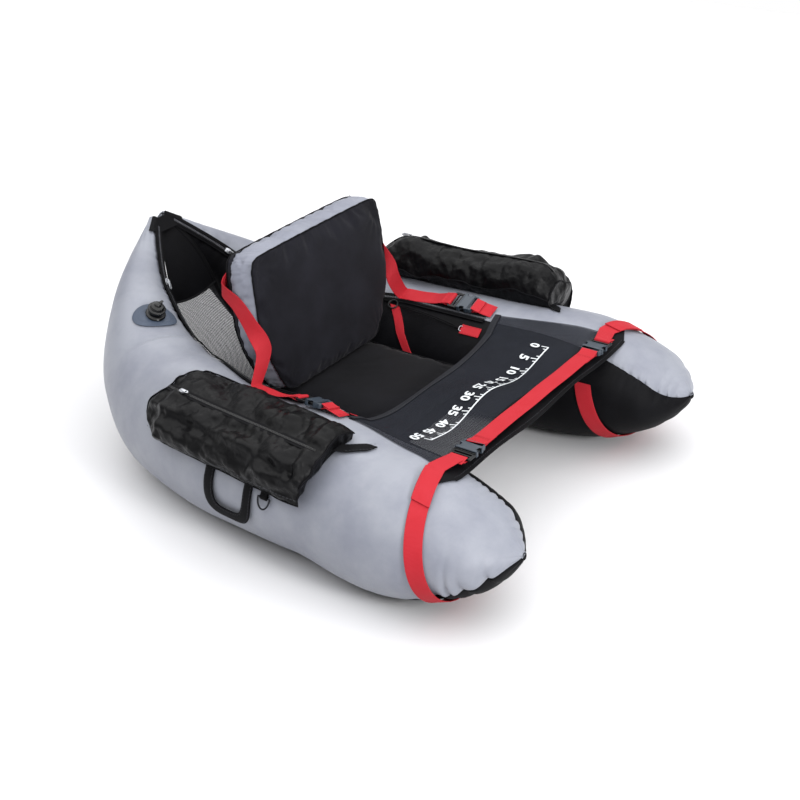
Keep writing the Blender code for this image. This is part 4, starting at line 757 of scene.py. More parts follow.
@dataclass
class AirTube:
    """One air tube: its path from stern to nose, oval section, seams and the puckers in its cloth."""

    side: Side
    length: float = 1.22
    spacing: float = 0.772
    width: float = 0.328
    height: float = 0.296
    stern_rise: float = 0.441
    floor_settle: float = 0.002
    stern_lean: float = 0.0043
    seam_gap: float = 0.0003
    ring_count: int = 22
    # Shares of the path, the length, half the spacing, the rise, half the width and half the height
    stations: tuple = (
        (0.00, 0.000, 0.040, 1.000, 0.070, 0.095),
        (0.07, 0.060, 0.381, 0.528, 0.433, 0.500),
        (0.17, 0.153, 0.624, 0.152, 0.744, 0.845),
        (0.30, 0.262, 0.772, 0.000, 0.872, 1.000),
        (0.45, 0.442, 0.899, 0.000, 0.915, 0.953),
        (0.60, 0.604, 0.912, 0.000, 1.000, 0.966),
        (0.76, 0.773, 0.987, 0.000, 1.000, 0.950),
        (0.91, 0.932, 1.000, 0.147, 0.750, 0.560),
        (1.00, 1.000, 0.992, 0.347, 0.060, 0.060),
    )
    inner_seam_angles: tuple = (150, 152, 146, 130, 118, 118, 122, 134, 173)
    outer_seam_angles: tuple = (300, 300, 300, 300, 300, 300, 304, 326, 350)
    wrap_shares: tuple = (0.812, 0.868)
    wrap_angles: tuple = (98, -205)
    # Gathered folds: at the inner seam or not, depth at the nose, at the stern and all along, pitch,
    # reach, and phase with what each side adds to it
    puckers: tuple = (
        (False, 0.0150, 0.0, 0.0007, 0.034, 0.048, 1.1, 1.5),
        (True, 0.0066, 0.0036, 0.0012, 0.019, 0.020, 2.3, 0.0),
        (True, 0.0012, 0.0016, 0.0, 0.041, 0.045, 0.4, 1.5),
    )

    def __post_init__(self) -> None:
        """Draw the curves through the stations."""
        path, along, apart, rise, wide, tall = np.array(self.stations).T
        widths, heights = wide * self.width / 2, tall * self.height / 2
        xs = apart * self.spacing / 2
        xs[0] = widths[0] + self.seam_gap
        ys = self.length / 2 - self.stern_lean - along * self.length
        zs = heights + rise * self.stern_rise - self.floor_settle
        self.middle = [Curve(path, values) for values in (xs, ys, zs)]
        self.half_width = Curve(path, widths)
        self.half_height = Curve(path, heights)
        self.inner_seam = Curve(path, self.inner_seam_angles)
        self.outer_seam = Curve(path, self.outer_seam_angles)
        self.places = tightened(self.ring_count)
        fine = spaced(0, 1, 400)
        self.run = Curve(fine, run_along(self.centre(fine)))

    def centre(self, place: np.ndarray) -> np.ndarray:
        """Points on the centre line."""
        x, y, z = (curve.at(place) for curve in self.middle)
        return np.stack([x * self.side.value, y, z], axis=-1)

    def axes(self, place: np.ndarray) -> tuple[np.ndarray, np.ndarray]:
        """Outward and upward directions of the section at places."""
        forward = unit(self.centre(place + 0.001) - self.centre(place - 0.001))
        outward = np.stack([-forward[..., 1], forward[..., 0], 0 * forward[..., 0]], axis=-1)
        outward = unit(outward) * self.side.value
        up = unit(np.cross(forward, outward))
        return outward, up * np.where(up[..., 2:] < 0, -1, 1)

    def point(self, place: np.ndarray, angle: np.ndarray, lift: np.ndarray = 0.0,
              shrink: float = 1.0) -> np.ndarray:
        """Points on the section, raised by the lift; the foot is flat on the floor."""
        place, angle, lift = np.broadcast_arrays(*(np.asarray(v, float) for v in (place, angle, lift)))
        outward, up = self.axes(place)
        turn = np.radians(angle)
        wide = self.half_width.at(place) * shrink + lift
        tall = self.half_height.at(place) * shrink + lift
        found = (self.centre(place) + outward * (wide * np.cos(turn))[..., None]
                 + up * (tall * np.sin(turn))[..., None])
        found[..., 2] = np.maximum(found[..., 2], np.maximum(-lift, 0))
        return found

    def skin(self, place: float, angle: float, lift: float = 0.0) -> np.ndarray:
        """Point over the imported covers' facets, which run straight from ring to ring."""
        k = int(np.clip(np.searchsorted(self.places, place) - 1, 0, self.ring_count - 1))
        share = (place - self.places[k]) / (self.places[k + 1] - self.places[k])
        return (self.point(self.places[k], angle, lift) * (1 - share)
                + self.point(self.places[k + 1], angle, lift) * share)

    def radius(self, place: np.ndarray) -> np.ndarray:
        """Mean radius of the section."""
        return (self.half_width.at(place) + self.half_height.at(place)) / 2

    def turn_for(self, place: np.ndarray, length: float) -> np.ndarray:
        """Angle that an arc of the given length spans."""
        return np.degrees(length / self.radius(place))

    def ahead(self, place: np.ndarray, angle: np.ndarray) -> np.ndarray:
        """Directions along the skin, towards the nose."""
        return unit(self.point(place + PROBE, angle) - self.point(place - PROBE, angle))

    def outward(self, points: np.ndarray, place: float) -> np.ndarray:
        """Directions to points, square to the boat's length, from the centre line at one place."""
        return unit(points - self.centre(np.array(place)) * [1, 0, 1] - points * [0, 1, 0])

    def speed(self, place: float) -> float:
        """Metres of centre line for one unit of place."""
        return float(np.linalg.norm(self.centre(place + 0.001) - self.centre(place - 0.001)) / 0.002)

    def seat_frame(self, place: float, angle: float, lift: float) -> Matrix:
        """Frame on the skin: x along the tube to the nose, z along the skin's normal."""
        forward = unit(self.skin(place + 0.02, angle) - self.skin(place - 0.02, angle))
        around = self.skin(place, angle + 4) - self.skin(place, angle - 4)
        normal = unit(np.cross(around, forward))
        if normal @ (self.skin(place, angle) - self.centre(place)) < 0:
            normal = -normal
        across = np.cross(normal, forward)
        found = Matrix(np.stack([forward, across, normal], axis=1).tolist()).to_4x4()
        found.translation = Vector(self.skin(place, angle) + normal * lift)
        return found

    def away(self, place: np.ndarray, angle: np.ndarray, seam: Curve) -> np.ndarray:
        """Distance round the tube to a seam."""
        turn = (angle - seam.at(place) + 180) % 360 - 180
        return np.radians(np.abs(turn)) * self.radius(place)

    @staticmethod
    def pleats(run: np.ndarray, away: np.ndarray, pitch: float, reach: float, phase: float) -> np.ndarray:
        """Gathered folds along a seam, 0 between them and down to -1 in each crease."""
        wander = (0.9 * np.sin(run * 2 * np.pi / 0.137 + phase)
                  + 0.5 * np.sin(run * 2 * np.pi / 0.059 + 2 * phase))
        fold = np.abs(np.sin(np.pi * run / pitch + wander)) ** 0.95 - 1
        reach = reach * (1 + 0.45 * np.sin(run * 2 * np.pi / 0.083 + 3 * phase))
        return fold * np.exp(-(away / np.maximum(reach, 0.004)) ** 1.3)

    def relief(self, place: np.ndarray, angle: np.ndarray) -> np.ndarray:
        """Height of the cloth over the smooth tube: dents, puckers, gathered tips, the strap's dent.

        Args:
            place: places along the path.
            angle: angles round the tube.

        Returns:
            Heights in metres, mostly below zero.
        """
        place, angle = np.broadcast_arrays(np.asarray(place, float), np.asarray(angle, float))
        run = self.run.at(place)
        turn = np.radians(angle)
        twist = 1.5 * self.side.value
        nose, stern = ramp(place, 0.80, 0.94), ramp(place, 0.17, 0.05)
        middle = ramp(place, 0.1, 0.3) * ramp(place, 0.9, 0.75)
        dents = np.sin(run * 17 + 1.2 * np.sin(2 * turn + twist)) * np.sin(turn * 2 + run * 5 + twist)
        total = -0.0007 + 0.0007 * dents * middle + 0.0004 * np.sin(run * 31 + 3 * np.sin(turn + twist))
        inner, outer = (self.away(place, angle, seam) for seam in (self.inner_seam, self.outer_seam))
        for inside, at_nose, at_stern, all_along, pitch, reach, phase, shift in self.puckers:
            depth = at_nose * nose + at_stern * stern + all_along
            phase = phase + shift * self.side.value
            total = total + depth * self.pleats(run, inner if inside else outer, pitch, reach, phase)
        gather = np.abs(np.sin(4.5 * turn + 0.8 * np.sin(run * 40))) ** 0.6 - 1
        total = total + 0.0022 * gather * (ramp(place, 0.955, 0.993) + ramp(place, 0.035, 0.008))
        total = total - 0.0022 * (np.exp(-(inner / 0.004) ** 2) + np.exp(-(outer / 0.004) ** 2))
        first, last = self.wrap_angles
        around = np.where(angle % 360 > 155, angle % 360 - 360, angle % 360)
        share = (around - first) / (last - first)
        strap = self.wrap_shares[0] + (self.wrap_shares[1] - self.wrap_shares[0]) * np.sin(np.pi * share)
        press = np.exp(-((place - strap) * 1.25 / 0.03) ** 4) * ramp(share, 0.03, 0.1)
        total = total - 0.0018 * press * (share > 0)
        return total * ramp(place, -0.001, 0.004) * ramp(place, 1.001, 0.996)

    def cloth(self, place: np.ndarray, angle: np.ndarray, lift: np.ndarray = 0.0) -> np.ndarray:
        """Points on the dressed cover, raised by the lift."""
        return self.point(place, angle, self.relief(place, angle) + lift)

    def lie(self, place: np.ndarray, angle: np.ndarray, lift: np.ndarray = 0.0, taut: bool = False
            ) -> tuple[np.ndarray, np.ndarray, np.ndarray]:
        """Points on the cover with the directions round the tube and out of it.

        Args:
            place: places along the path.
            angle: angles round the tube.
            lift: height over the cloth.
            taut: whether it spans the cloth's wrinkles instead of following them.

        Returns:
            The points, the directions of rising angle and the outward normals.
        """
        place, angle = np.broadcast_arrays(np.asarray(place, float), np.asarray(angle, float))
        around = unit(self.point(place, angle + 2) - self.point(place, angle - 2))
        normal = unit(np.cross(around, self.ahead(place, angle)))
        out = self.point(place, angle) - self.centre(place)
        normal = normal * np.where((normal * out).sum(axis=-1, keepdims=True) < 0, -1, 1)
        base = self.point(place, angle) if taut else self.cloth(place, angle)
        return base + normal * np.asarray(lift, float)[..., None], around, normal


TUBES = {side: AirTube(side) for side in Side}


@dataclass
class HullCovers:
    """The silver upper cover and black lower cover of one tube, with their sewn seams."""

    tube: AirTube
    cloth_thickness: float = 0.0012
    rows: int = 280
    upper_columns: int = 84
    lower_columns: int = 52
    tip_shrinks: tuple = (0.6, 0.15)

    def sheet(self, first: Callable, last: Callable, columns: int, lift: float) -> np.ndarray:
        """Points of a cover between two seams, with its gathered ends drawn in."""
        share = spaced(0, 1, columns)
        share = share - 0.08 * np.sin(2 * np.pi * share)
        place = tightened(self.rows)[:, None]
        angle = first(place) + (last(place) - first(place)) * share[None]
        rows = [self.tube.cloth(place, angle, lift)]
        for end, shrink in ((0, self.tip_shrinks[::-1]), (-1, self.tip_shrinks)):
            extra = [self.tube.point(place[end, 0], angle[end], 0.0, s)[None] for s in shrink]
            rows = extra + rows if end == 0 else rows + extra
        return np.concatenate(rows)

    def build(self) -> None:
        """Make both covers."""
        tube = self.tube
        label = tube.side.label

        def margin(place: np.ndarray) -> np.ndarray:
            return tube.turn_for(place, tube.seam_gap / 2)

        spans = (
            ("upper", "hull_nylon", HULL_NYLON, self.upper_columns, ("hull_cover_upper", "air_bladder"),
             lambda p: tube.outer_seam.at(p) - 360 + margin(p),
             lambda p: tube.inner_seam.at(p) - margin(p)),
            ("lower", "black_nylon", BLACK_NYLON, self.lower_columns, ("hull_cover_lower",),
             lambda p: tube.inner_seam.at(p) + margin(p), lambda p: tube.outer_seam.at(p) - margin(p)),
        )
        for name, slot, finish, columns, nodes, first, last in spans:
            shell = Shell()
            over = self.sheet(first, last, columns, 0.0)
            under = self.sheet(first, last, columns, -self.cloth_thickness)
            shell.slab(under, over)
            item = shell.build(f"{label}_{name}_cover", [finish], sharp=60)
            place_piece(item, "hull", slot, *[f"{label}_{node}" for node in nodes])


@dataclass
class MainZip:
    """Coil zip along one tube's inner seam: tape, teeth and the cast slider at the stern."""

    tube: AirTube
    tape_width: float = 0.024
    tape_thickness: float = 0.0012
    lift: float = 0.0006
    first_share: float = 0.006
    last_share: float = 0.60
    tooth_pitch: float = 0.0042
    tooth_size: tuple = (0.0024, 0.0034, 0.0022)
    steps: int = 260
    slider_share: float = 0.055
    slider_size: tuple = (0.016, 0.012, 0.007)
    chain_height: float = 0.003

    def build(self) -> None:
        """Make tape and teeth as one piece, then the slider."""
        tube = self.tube
        label = tube.side.label
        places = spaced(self.first_share, self.last_share, self.steps)
        seam = tube.inner_seam.at(places)
        high = self.lift + self.tape_thickness / 2 + 0.0016
        centres, around, normals = tube.lie(places, seam, high, taut=True)
        shell = Shell()
        shell.sweep(centres, around, flat_section(self.tape_width, self.tape_thickness), 0, normals)
        for aside in (-0.36, 0.36):
            row = centres + around * self.tape_width * aside + normals * self.tape_thickness / 2
            sew(shell, row, normals, 2)
        edge = flat_section(0.0042, 0.0022, 2)
        for aside in (-0.24, 0.24):
            cord = centres + around * self.tape_width * aside + normals * 0.0009
            shell.sweep(cord, around, edge, 0, normals)
        run = run_along(centres)
        spots = np.arange(0.004, run[-1], self.tooth_pitch)
        long, wide, tall = self.tooth_size
        for turn, start in ((-1, 0.0), (1, self.tooth_pitch / 2)):
            for spot in spots + start:
                here, side, up = (np.array([np.interp(spot, run, rows[:, axis]) for axis in range(3)])
                                  for rows in (centres, around, normals))
                ahead = np.cross(side, up)
                here = here + side * turn * wide * 0.28 + up * tall * 0.5
                route = np.stack([here - side * wide / 2, here, here + side * wide / 2])
                shell.sweep(route, ahead, round_section(tall / 2, 6, long / tall), 1)
        # The teeth wear the grey coil finish: a painted glint along the zip.
        item = shell.build(f"{label}_zip", [BLACK_WEBBING, ZIP_COIL_PAINTED_GLINT, BLACK_THREAD])
        place_piece(item, "hull", "black_webbing", f"{label}_main_zip")
        frame_lift = self.lift + self.chain_height + GAP + self.slider_size[2] / 2 + 0.001
        seat = tube.seat_frame(self.slider_share, float(tube.inner_seam.at(self.slider_share)),
                               frame_lift)
        slider = ZipSlider(self.slider_size, 0.024).build(f"{label}_zip_slider", seat)
        place_piece(slider, "hull", "zinc", f"{label}_main_zip_slider")


@dataclass
class ZipSlider:
    """Die-cast slider: two wings, a post, a bridge and a long pull with a hole."""

    size: tuple
    pull_length: float
    pull_width: float = 0.0085
    pull_thickness: float = 0.0022

    def build(self, name: str, seat: Matrix) -> bpy.types.Object:
        """Make the slider in its frame.

        Args:
            name: the object's name.
            seat: frame with x along the zip and z out of it.

        Returns:
            The object.
        """
        long, wide, tall = self.size
        shell = Shell()
        wing = mirrored([(-long / 2, -wide * 0.36), (long * 0.1, -wide / 2), (long / 2, -wide * 0.34)])
        for level in (-0.36, 0.1):
            shell.part(*plate(wing, [], tall * 0.26, 0.0006),
                       place=Matrix.Translation((0, 0, tall * level)))
        post = mirrored([(-long * 0.3, -wide * 0.1), (long * 0.3, -wide * 0.1)])
        shell.part(*plate(post, [], tall * 0.5, 0.0004), place=Matrix.Translation((0, 0, -tall * 0.12)))
        turn = spaced(0, math.pi, 10)
        arch = np.stack([-long * 0.32 * np.cos(turn), 0 * turn,
                         tall * 0.2 + tall * 0.36 * np.sin(turn)], axis=1)
        shell.sweep(arch, [0, 1, 0], round_section(0.0011, 8, 1.5))
        half = self.pull_width / 2
        outline = mirrored([(0, -half * 0.6), (0.004, -half * 0.75), (self.pull_length - 0.004, -half),
                            (self.pull_length, -half * 0.4)])
        eye = [(0.002 + 0.0016 * math.cos(a), 0.0022 * math.sin(a))
               for a in spaced(0, 2 * math.pi, 10)[:-1]]
        slot = [(self.pull_length - 0.004 + 0.002 * math.cos(a) - 0.002, 0.0022 * math.sin(a))
                for a in spaced(0, 2 * math.pi, 12)[:-1]]
        tilt = Matrix.Translation((-0.002, 0, tall * 0.52)) @ Matrix.Rotation(math.radians(3), 4, "Y")
        shell.part(*plate(outline, [eye, slot], self.pull_thickness, 0.0005), place=tilt)
        shell.points = [moved(seat, points) for points in shell.points]
        return shell.build(name, [PLATED_ZINC])


def plate(outline: Sequence, holes: Sequence, thickness: float, edge: float
          ) -> tuple[np.ndarray, list[list[int]]]:
    """A flat moulded plate with rounded edges.

    Args:
        outline: corners of its outline.
        holes: outlines of its holes.
        thickness: full thickness, about z = 0.
        edge: radius of its edges.

    Returns:
        Its points and faces.
    """
    data = bpy.data.curves.new("plate", "CURVE")
    data.dimensions = "2D"
    data.fill_mode = "BOTH"
    data.extrude = thickness / 2 - edge
    data.bevel_depth = edge
    data.bevel_resolution = 2
    data.offset = -edge
    for loop in (outline, *holes):
        spline = data.splines.new("POLY")
        spline.points.add(len(loop) - 1)
        spline.points.foreach_set("co", np.array([(x, y, 0, 1) for x, y in loop]).ravel())
        spline.use_cyclic_u = True
    return filled(data)


@dataclass
class SternPanel:
    """Stern: solid upper panel and net between the horns, their bindings, and the patch over the tips."""

    first_share: float = 0.004
    last_share: float = 0.33
    solid_share: float = 0.18
    angles: tuple = (166, 220, 222, 210, 204)
    sag: float = 0.012
    scallop: float = 0.012
    pulled_in: float = 0.028
    rows: int = 90
    columns: int = 40
    binding: float = 0.011
    patch_shares: tuple = (0.0, 0.012)
    patch_angles: tuple = (96, 150)
    tip_shrinks: tuple = (0.1, 0.65)

    def row_points(self, share: np.ndarray, across: np.ndarray) -> np.ndarray:
        """Points of the sheet at shares of its length and places across, -1 to 1."""
        left = TUBES[Side.LEFT]
        share, across = np.broadcast_arrays(share, across)
        places = self.first_share + (self.last_share - self.first_share) * share
        angle = Curve(spaced(0, 1, len(self.angles) - 1), self.angles).at(share)
        edge = left.point(places, angle, 2 * GAP + self.scallop * np.sin(np.pi * share))
        pull = self.pulled_in * ramp(share, 0.42, 0.72) * ramp(share, 1.02, 0.8)
        drop = (self.sag + 0.004 * np.sin(9 * share) * ramp(share, 0.1, 0.4)) * (1 - across ** 2)
        return np.stack([(edge[..., 0] - pull) * across, edge[..., 1], edge[..., 2] - drop], axis=-1)

    def build(self) -> None:
        """Make the panel, the net, the bindings and the tip patch."""
        across = spaced(-1, 1, self.columns)[None]
        for name, low, high, finish in (("stern_cloth", 0.0, self.solid_share, BLACK_NYLON),
                                        ("stern_mesh", self.solid_share, 1.0, STERN_NET)):
            share = spaced(low, high, self.rows // 2)[:, None]
            sheet = self.row_points(share, across)
            shell = Shell()
            shell.grid(sheet)
            item = shell.build(name, [finish])
            place_piece(item, "hull", "black_net", "stern_net")
        shell = Shell()
        band = flat_section(self.binding, 0.0022, 3)
        share = spaced(0, 1, self.rows)
        for end in (-1, 1):
            edge = self.row_points(share, np.full_like(share, 0.985 * end))
            inward = unit(self.row_points(share, np.full_like(share, 0.93 * end)) - edge)
            shell.sweep(edge, inward, band)
        for line in (self.solid_share, 0.995):
            row = self.row_points(np.full(41, line), spaced(-0.99, 0.99, 40))
            shell.sweep(row + np.array([0, 0, 0.0004]), unit(np.array([0.0, -1.0, -0.3])), band)
        place_piece(shell.build("stern_binding", [BLACK_WEBBING]), "hull", "black_net")
        self.patch()

    def patch(self) -> None:
        """Black webbing patch wrapped over both horn tips."""
        shell = Shell()
        turns = spaced(self.patch_angles[0], self.patch_angles[1], 16)
        sheets = []
        for lift in (0.0009, 0.0026):
            halves = []
            for side in (Side.LEFT, Side.RIGHT):
                tube = TUBES[side]
                places = spaced(*self.patch_shares, 12)[:, None]
                crown = lift + 0.002 * np.sin(np.pi * (turns - turns[0]) / (turns[-1] - turns[0]))[None]
                ends = [tube.point(places[0, 0], turns, crown[0], shrink)[None]
                        for shrink in self.tip_shrinks]
                sheet = np.concatenate([*ends, tube.point(places, turns[None], crown)])
                halves.append(sheet if side is Side.LEFT else sheet[:, ::-1])
            sheets.append(np.concatenate(halves, axis=1))
        shell.slab(*sheets)
        item = shell.build("stern_tip_cover", [BLACK_WEBBING])
        place_piece(item, "hull", "black_webbing", "stern_tip_patch")


@dataclass
class Valve:
    """Air valve on one horn: welded oval patch, tiered body and knurled screw cap."""

    tube: AirTube
    place: float = 0.107
    angle: float = 101
    half_length: float = 0.052
    half_width: float = 0.037
    patch_lift: float = 0.0009
    patch_thickness: float = 0.0015
    seat_lift: float = 0.0006
    flange: tuple = (0.023, 0.004)
    collar: tuple = (0.018, 0.011)
    cap_rim: tuple = (0.0205, 0.0035)
    cap_top: tuple = (0.0155, 0.008)
    knob: tuple = (0.0075, 0.006)
    flutes: int = 24
    flute_depth: float = 0.0009
    fluted_from: float = 0.012
    steps: int = 48

    def turned(self, shell: Shell, profile: Sequence, seat: Matrix, flutes: int = 0) -> None:
        """Turn a profile about the seat's z axis.

        Args:
            shell: where the turned form goes.
            profile: (radius, height) points from the foot up to the middle of the top.
            seat: its frame.
            flutes: number of grip flutes on its wide part.
        """
        turn = np.arange(self.steps * 2) * math.pi / self.steps
        rings = []
        for radius, height in profile:
            reach = max(radius, MERGE * 2)
            if flutes and height > 0 and radius > self.fluted_from:
                reach = reach - self.flute_depth * (np.cos(turn * flutes) > 0.2)
            rings.append(np.stack([reach * np.cos(turn), reach * np.sin(turn), np.full_like(turn, height)],
                                  axis=1))
        shell.grid(moved(seat, np.array(rings).reshape(-1, 3)).reshape(len(rings), -1, 3), wrap=True)

    def build(self) -> None:
        """Make patch, body and cap."""
        tube = self.tube
        label = tube.side.label
        shell = Shell()
        along = self.half_width / tube.speed(self.place)
        across = float(tube.turn_for(self.place, self.half_length))
        turn = np.arange(64) * math.pi / 32
        sheets = []
        for lift in (self.patch_lift, self.patch_lift + self.patch_thickness):
            rings = []
            for share in (0.36, 0.5, 0.6, 0.66, 0.72, 0.8, 0.9, 0.96, 1.0):
                raised = 0.0011 * math.exp(-((share - 0.66) / 0.04) ** 2) + 0.0006 * (share < 0.98)
                rings.append(tube.point(self.place + along * share * np.sin(turn),
                                        self.angle + across * share * np.cos(turn), lift + raised))
            sheets.append(np.stack(rings))
        for form in (sheets[1], sheets[0], *(np.stack([sheets[0][k], sheets[1][k]]) for k in (0, -1))):
            shell.grid(form, wrap=True)
        item = shell.build(f"{label}_welded_patch", [PATCH_PVC], sharp=60)
        place_piece(item, "hull", "valve_patch", f"{label}_valve_patch")

        seat = tube.seat_frame(self.place, self.angle,
                               self.patch_lift + self.patch_thickness + self.seat_lift)
        top = self.flange[1] + self.collar[1]
        wide, thick = self.flange
        neck = self.collar[0]
        profile = [(0, -0.002), (wide * 0.6, -0.002), (wide - 0.0006, -0.0004), (wide, 0.0012),
                   (wide - 0.0008, 0.0026), (wide - 0.0026, thick), (neck + 0.001, thick + 0.0003),
                   (neck, thick + 0.001), (neck, thick + 0.0036), (neck - 0.0018, thick + 0.0044),
                   (neck - 0.0018, thick + 0.0062), (neck + 0.0002, thick + 0.007),
                   (neck + 0.0002, top - 0.001), (neck - 0.001, top), (0, top)]
        shell = Shell()
        self.turned(shell, profile, seat)
        item = shell.build(f"{label}_valve_stem", [VALVE_PVC], sharp=50)
        place_piece(item, "hull", "black_plastic", f"{label}_valve_body")

        rim, rim_height = self.cap_rim
        reach, rise = self.cap_top
        knob, knob_height = self.knob
        peak = rim_height + rise
        profile = [(0, 0), (rim - 0.0008, 0), (rim, 0.0008), (rim, rim_height - 0.0008),
                   (rim - 0.0008, rim_height), (reach + 0.001, rim_height + 0.0002),
                   (reach, rim_height + 0.0012), (reach, peak - 0.003), (reach - 0.0006, peak - 0.001),
                   (reach - 0.0026, peak), (knob + 0.0016, peak + 0.0002), (knob, peak + 0.0014),
                   (knob, peak + knob_height - 0.0014), (knob - 0.0014, peak + knob_height),
                   (0, peak + knob_height)]
        shell = Shell()
        frame_cap = seat @ Matrix.Translation((0, 0, top + GAP))
        self.turned(shell, profile, frame_cap, self.flutes)
        tab = [(knob - 0.001, -0.0035), (reach + 0.003, -0.003), (reach + 0.0045, 0),
               (reach + 0.003, 0.003), (knob - 0.001, 0.0035)]
        shell.part(*plate(tab, [], 0.0026, 0.0008),
                   place=(frame_cap @ Matrix.Translation((0, 0, peak + 0.0014))
                          @ Matrix.Rotation(2.2, 4, "Z")))
        item = shell.build(f"{label}_screw_cap", [VALVE_PVC], sharp=50)
        place_piece(item, f"{label}_valve_screw_cap", "black_plastic", f"{label}_valve_cap")


# Stuffed pieces

def crowned(sheet: np.ndarray, power: float) -> np.ndarray:
    """Share of a cushion's crown at each point of its grid: one in the middle, none at the seams."""
    rows, columns = sheet.shape[:2]
    down, over = (np.abs(spaced(-1, 1, count - 1)) ** power for count in (rows, columns))
    return (1 - down[:, None]) * (1 - over[None])


def ring_of(sides: Sequence[np.ndarray]) -> np.ndarray:
    """One closed ring from the foot, right, head and left sides of a sheet."""
    foot, right, head, left = sides
    return np.concatenate([foot[:-1], right[:-1], head[::-1][:-1], left[::-1][:-1]])


@dataclass
class SeatPad:
    """Seat cushion on its fabric base: crowned top, drawn-in sides and corded seams."""

    width: float = 0.352
    depth: float = 0.34
    rear: float = 0.175
    edge: float = 0.050
    crown: float = 0.014
    corner: float = 0.045
    draw: float = 0.010
    cells: int = 44
    piping: float = 0.0022
    base_shares: tuple = (0.33, 0.62)
    base_sag: float = 0.006

    def side_points(self) -> tuple[np.ndarray, ...]:
        """The four sides of the outline, foot, right, head and left, cut in the middle of its corners."""
        half = np.array([self.width / 2, self.depth / 2])
        turn = spaced(math.pi / 4, math.pi / 2, 8)
        sides = []
        for reach, depth in (half, half[::-1]):
            end = np.stack([reach - self.corner + self.corner * np.cos(turn),
                            depth - self.corner + self.corner * np.sin(turn)], axis=1)
            sides.append(resampled(np.concatenate([end * [-1, 1], end[::-1]]), self.cells))
        head, right = sides[0], sides[1][:, ::-1]
        found = []
        for points in (head * [1, -1], right, head, right * [-1, 1]):
            share = points / half
            drawn = points - self.draw * (1 - share[:, ::-1] ** 2) * share * np.abs(share)
            found.append(np.column_stack([drawn[:, 0], drawn[:, 1] + self.rear - half[1], 0 * drawn[:, 0]]))
        return tuple(found)

    def build(self) -> None:
        """Make base panel and cushion."""
        self.base()
        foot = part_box("seat_cushion")[0].z
        sides = self.side_points()
        sheet = coons(*sides)
        ring = ring_of(sides)
        middle = np.array([0, self.rear - self.depth / 2, 0])
        bulge = crowned(sheet, 4)
        top, bottom = sheet.copy(), sheet.copy()
        top[..., 2] = foot + self.edge - 0.004 + (self.crown - 0.003) * bulge
        bottom[..., 2] = foot + 0.0008
        bottom = (bottom - middle) * [0.95, 0.95, 1] + middle
        walls = []
        for level in spaced(0, 1, 6):
            belly = 0.95 + 0.05 * math.sin(math.pi / 2 * min(1, level * 2.2)) - 0.004 * (level > 0.9)
            wall = (ring - middle) * [belly, belly, 1] + middle
            wall[:, 2] = foot + 0.0008 + (self.edge - 0.0048) * level
            walls.append(wall)
        walls[-1] = ring_of((top[0], top[:, -1], top[-1], top[:, 0]))
        shell = Shell()
        shell.grid(top)
        shell.grid(bottom)
        shell.grid(np.array(walls), wrap=True)
        # Its darker cloth is painted shade.
        pad = shell.build("seat_pad", [SHADED_SEAT_CLOTH], sharp=180)
        rest = coordinates(pad.data)
        seam = nearest(rest, walls[-1])
        still = np.nonzero(rest[:, 2] < foot + 0.002)[0]
        inflate(pad, 3.0, 0.006, [*still, *seam], 0.04)
        seam_points = coordinates(pad.data)[seam]
        smooth(pad)
        place_piece(pad, "hull", "black_nylon", "seat_cushion")
        cord = Shell()
        out = unit((seam_points - middle) * [1, 1, 0])
        cord.sweep(seam_points + out * 0.0008, out, round_section(self.piping, 8), 0, UPWARD, closed=True)
        place_piece(cord.build("seat_piping", [BLACK_WEBBING]), "hull", "black_nylon")

    def base(self) -> None:
        """Fabric panel between the tubes' inner walls, sagging under the seat."""
        tube = TUBES[Side.LEFT]
        place = spaced(*self.base_shares, 40)
        seam = tube.inner_seam.at(place)
        edge = tube.point(place, seam + (262 - seam) * 3 / 7, 2 * GAP)
        across = spaced(-1, 1, 30)[None]
        under = np.stack([edge[:, None, 0] * across, edge[:, None, 1] + 0 * across,
                          edge[:, None, 2] - 0.001 - self.base_sag * (1 - across ** 2)], axis=-1)
        shell = Shell()
        shell.slab(under, under + [0, 0, 0.002])
        place_piece(shell.build("seat_panel", [BLACK_NYLON]), "hull", "black_nylon", "seat_base")


